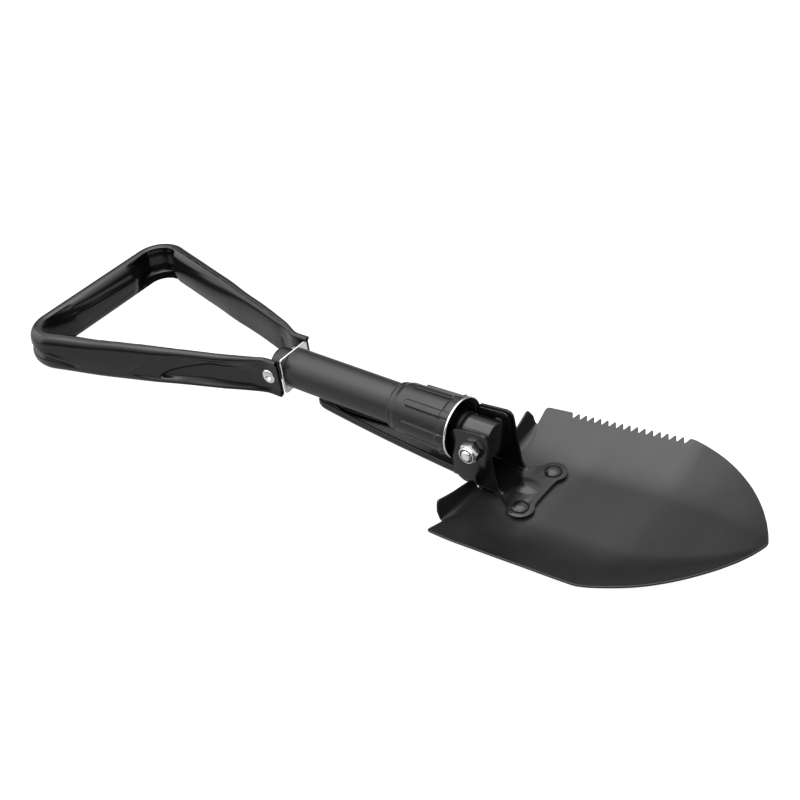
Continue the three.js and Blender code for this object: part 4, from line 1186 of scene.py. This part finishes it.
def grip_section(along, length, right_corner, left_corner):
    """Section of the tube at a distance along its line: (out, up, normal out, normal up)."""
    right = along < length / 2
    end = min(along, length - along)
    # distance past the corner: below zero on the arm, above zero on the bar
    bend = along - right_corner if right else left_corner - along
    thickness = grip_thickness(end)
    half_height, half_thickness = grip_height(end) / 2, thickness / 2
    straight = half_height - half_thickness        # half of the straight side
    # the whole section moves outward by shift and upward by lift
    shift = 1.0 * fade(18, 44, end)
    if not right:
        shift += 2.4 * ease(12, 34, end) * (1 - 0.5 * ease(60, 100, end)) * fade(110, 160, end)
    lift = (-1.7 if right else 1.7) * ease(14, 50, end) * fade(150, 200, end)
    # how far the inner face is pressed in: on the arm, along the bar and at the corner
    lean = (0.20 if right else 1.0) * ease(12, 34, end)
    lean = lean * (1 - 0.75 * ease(120, 190, end)) * fade(190, 205, end)
    lean_level = interpolate([(0, 0.30), (30, 0.20), (60, 0.0), (100, -0.34), (150, -0.5)], end)
    bar = ease(212, 240, end)
    bar_level = interpolate([(0, 0.80), (25, 0.74), (55, 0.46), (85, 0.30), (110, 0.22),
                             (160, 0.20)], along - right_corner)
    hollow = fade(8, 40, bend) if bend > 0 else fade(9, 27, -bend)

    def inner_depth(level):
        part = min(1.0, max(0.0, (level - lean_level) / (0.95 - lean_level)))
        depth = lean * (thickness - 2.9) * (1 - math.sqrt(1 - part * part))
        if not right:              # short upright crease low on the left arm
            crease = 0.9 * bell(end, 30.5, 1.6)
            depth += crease * ease(-0.9, -0.5, level) * fade(0.1, 0.3, level)
        grooves = 1.0 * bell(level, bar_level, 0.15) + 0.7 * bell(level, bar_level - 0.45, 0.40)
        depth += bar * grooves
        edge = fade(0.84, 0.95, abs(level))
        folds = 0.9 * bell(bend, 7, 2.6) - 0.7 * bell(bend, -7, 2.8) + 0.6 * bell(bend, 0, 2.4)
        wrinkles = (bell(level, -0.62, 0.05) - 0.8 * bell(level, -0.74, 0.045)
                    + 0.7 * bell(level, -0.50, 0.05))
        pressed = hollow * (thickness - 6.0) * edge + hollow * (folds * edge + 0.8 * wrinkles)
        return max(depth, pressed)

    section = []
    for out, up, normal_out, normal_up in oblong(half_thickness, half_height):
        out *= 1 - 0.13 * ease(90, 135, end) * min(1.0, (up / straight) ** 2)
        level = up / half_height
        over = max(0.0, abs(up) - straight)
        chord = 2 * math.sqrt(max(0.0, half_thickness * half_thickness - over * over))
        room = max(0.0, chord - 2.75)              # keeps the two faces apart
        outer, inner = spoon_depth(end, level), inner_depth(level)
        if outer + inner > room:
            share = room / (outer + inner)
            outer, inner = outer * share, inner * share
        if normal_out > 0:
            out -= outer
            soft, swell = corner_swell(bend, level)
            out += (1.0 if right else 0.7) * soft * swell
        else:
            out += inner
        section.append((out + shift, up + lift, normal_out, normal_up))
    return section


def build_handle():
    line, along = resample(grip_line(), GRIP_STEP)
    # tangents, smoothed so that the section turns evenly through the bends
    tangents = np.gradient(line, axis=0)
    tangents /= np.linalg.norm(tangents, axis=1)[:, None]
    for _ in range(8):
        tangents[1:-1] = (tangents[:-2] + 2 * tangents[1:-1] + tangents[2:]) / 4
        tangents /= np.linalg.norm(tangents, axis=1)[:, None]
    outward = np.c_[-tangents[:, 1], tangents[:, 0]]
    # distance along the line of each corner's apex
    right_corner = along[int(np.argmin(line[:, 0] + 0.9 * line[:, 1]))]
    left_corner = along[int(np.argmin(line[:, 0] - 0.9 * line[:, 1]))]

    outer, inner = [], []
    for i, (x, y) in enumerate(line):
        section = grip_section(along[i], along[-1], right_corner, left_corner)
        for skin, inset in ((outer, 0.0), (inner, GRIP_WALL)):
            for out, up, normal_out, normal_up in section:
                reach = out - normal_out * inset
                skin.append((x + outward[i][0] * reach, y + outward[i][1] * reach,
                             up - normal_up * inset))

    count, sides, inside = len(line), GRIP_SIDES, len(outer)
    faces = []
    for i in range(count - 1):
        for j in range(sides):
            a, b = i * sides + j, i * sides + (j + 1) % sides
            faces.append((a, b, b + sides, a + sides))
            faces.append((inside + b, inside + a, inside + a + sides, inside + b + sides))
    # rims that join the two skins at the open ends
    for i, order in ((0, 1), (count - 1, -1)):
        for j in range(sides):
            a, b = i * sides + j, i * sides + (j + 1) % sides
            faces.append((b, a, inside + a, inside + b)[::order])
    handle = look("handle_grip", (outer + inner, faces))
    boolean(handle, [cylinder(5.15, -30, 30, "y", 56, PIVOT_AT)])
    finish(handle, "handle", "gloss_black_paint", angle=50)


build_tube()
build_plug()
build_bolt()
build_nut()
build_end_plate()
build_collar()
build_bracket()
build_blade()
build_pick()
build_rod()
build_spring()
build_pivot()
build_handle()


# ------------------------------------------------------------------ stage, in metres
def build_stage():
    # the shovel rests on its rivets and the pick's keel, so the floor leans with that line
    slope, level_x, drop = -0.0395, 0.13375, 0.0004
    half, parts = 6.0, 24
    ticks = [-half + 2 * half * i / parts for i in range(parts + 1)]
    verts = [(x, y, (x - level_x) * slope - drop) for x in ticks for y in ticks]
    mesh = bpy.data.meshes.new("studio_floor")
    mesh.from_pydata(verts, [], grid_faces(parts + 1, parts + 1))
    floor = bpy.data.objects.new("studio_floor", mesh)
    bpy.context.scene.collection.objects.link(floor)

    nodes = new_material("studio_paper")
    inputs = nodes.shader.inputs
    tone = nodes.noise(scale=3.0, detail=3, roughness=0.5)
    greys = [(0.3, (0.19, 0.19, 0.1895)), (0.7, (0.20, 0.20, 0.20))]
    nodes.feed(inputs["Base Color"], nodes.ramp(tone, greys))
    uneven = nodes.noise(scale=60, detail=3, roughness=0.5)
    nodes.feed(inputs["Roughness"], nodes.ramp(uneven, [(0.3, 0.82), (0.7, 0.95)]))
    inputs["Specular IOR Level"].default_value = 0.1
    # the paper glows, so shadows stay faint; its light falls off away from the middle
    inputs["Emission Color"].default_value = (1, 1, 1, 1)
    position = nodes.add("NewGeometry").outputs["Position"]
    length = nodes.add("VectorMath")
    length.operation = "LENGTH"
    nodes.feed(length.inputs[0], position)
    distance = nodes.math("MULTIPLY", length.outputs["Value"], 0.5)
    glow = nodes.ramp(distance, [(0.24, 0.27), (0.50, 0.03)])
    seen = nodes.add("LightPath").outputs["Is Camera Ray"]
    nodes.feed(inputs["Emission Strength"], nodes.mix(seen, glow, (0.96, 0.96, 0.96)))
    mesh.materials.append(MATERIALS["studio_paper"])


def build_softbox():
    light = bpy.data.lights.new("softbox_top", "AREA")
    light.shape = "RECTANGLE"
    light.size = 2.0
    light.size_y = 1.8
    light.energy = 26
    softbox = bpy.data.objects.new("softbox_top", light)
    bpy.context.scene.collection.objects.link(softbox)
    place = (-0.25, 0.0, 1.7)
    softbox.location = place
    softbox.rotation_mode = "QUATERNION"
    aim = Vector((0, 0, 0)) - Vector(place)
    softbox.rotation_quaternion = aim.to_track_quat("-Z", "Y")


def build_world():
    """Dark below, bright overhead, with one broad soft patch low towards -X and -Y."""
    world = bpy.data.worlds.new("studio")
    bpy.context.scene.world = world
    nodes = Nodes(world)
    output = nodes.add("OutputWorld")
    seen = nodes.add("LightPath").outputs["Is Camera Ray"]
    direction = nodes.add("TexCoord").outputs["Generated"]
    split = nodes.add("SeparateXYZ")
    nodes.feed(split.inputs[0], direction)
    sky = nodes.ramp(split.outputs["Z"], [
        (0.0, 0.02), (0.22, 0.05), (0.42, 0.45), (0.60, 1.08), (0.78, 1.5), (1.0, 1.65)])
    toward = nodes.add("VectorMath")
    toward.operation = "DOT_PRODUCT"
    toward.inputs[1].default_value = Vector((-0.88, -0.40, 0.30)).normalized()
    nodes.feed(toward.inputs[0], direction)
    patch = nodes.ramp(toward.outputs["Value"], [(0.79, 0.0), (0.90, 1.4)])
    room = nodes.math("ADD", sky, patch)
    # the room lights the shovel, plain white is what the camera sees
    lighting, backdrop = nodes.add("Background"), nodes.add("Background")
    switch = nodes.add("MixShader")
    for background, strength in ((lighting, room), (backdrop, 1.0)):
        background.inputs[0].default_value = (1, 1, 1, 1)
        nodes.feed(background.inputs[1], strength)
    nodes.feed(switch.inputs[0], seen)
    nodes.feed(switch.inputs[1], lighting.outputs[0])
    nodes.feed(switch.inputs[2], backdrop.outputs[0])
    nodes.feed(output.inputs[0], switch.outputs[0])


def build_camera():
    lens = bpy.data.cameras.new("camera")
    lens.sensor_width = 36.0
    lens.lens = 59.72143
    lens.clip_start = 0.01
    lens.clip_end = 50
    camera = bpy.data.objects.new("camera", lens)
    bpy.context.scene.collection.objects.link(camera)
    # the camera's own axes in the frame
    right = Vector((0.7955749, 0.595104, -0.1136297))
    up = Vector((-0.2856297, 0.5338184, 0.795898))
    back = Vector((0.5342997, -0.6007405, 0.5946719))
    place = Vector((0.518190645, -0.5562448639, 0.5914256712))
    turned = Matrix((right, up, back)).transposed().to_4x4()
    camera.matrix_world = Matrix.Translation(place) @ turned
    bpy.context.scene.camera = camera


build_stage()
build_softbox()
build_world()
build_camera()
bpy.context.scene.view_settings.view_transform = "Standard"
bpy.context.scene.view_settings.look = "None"
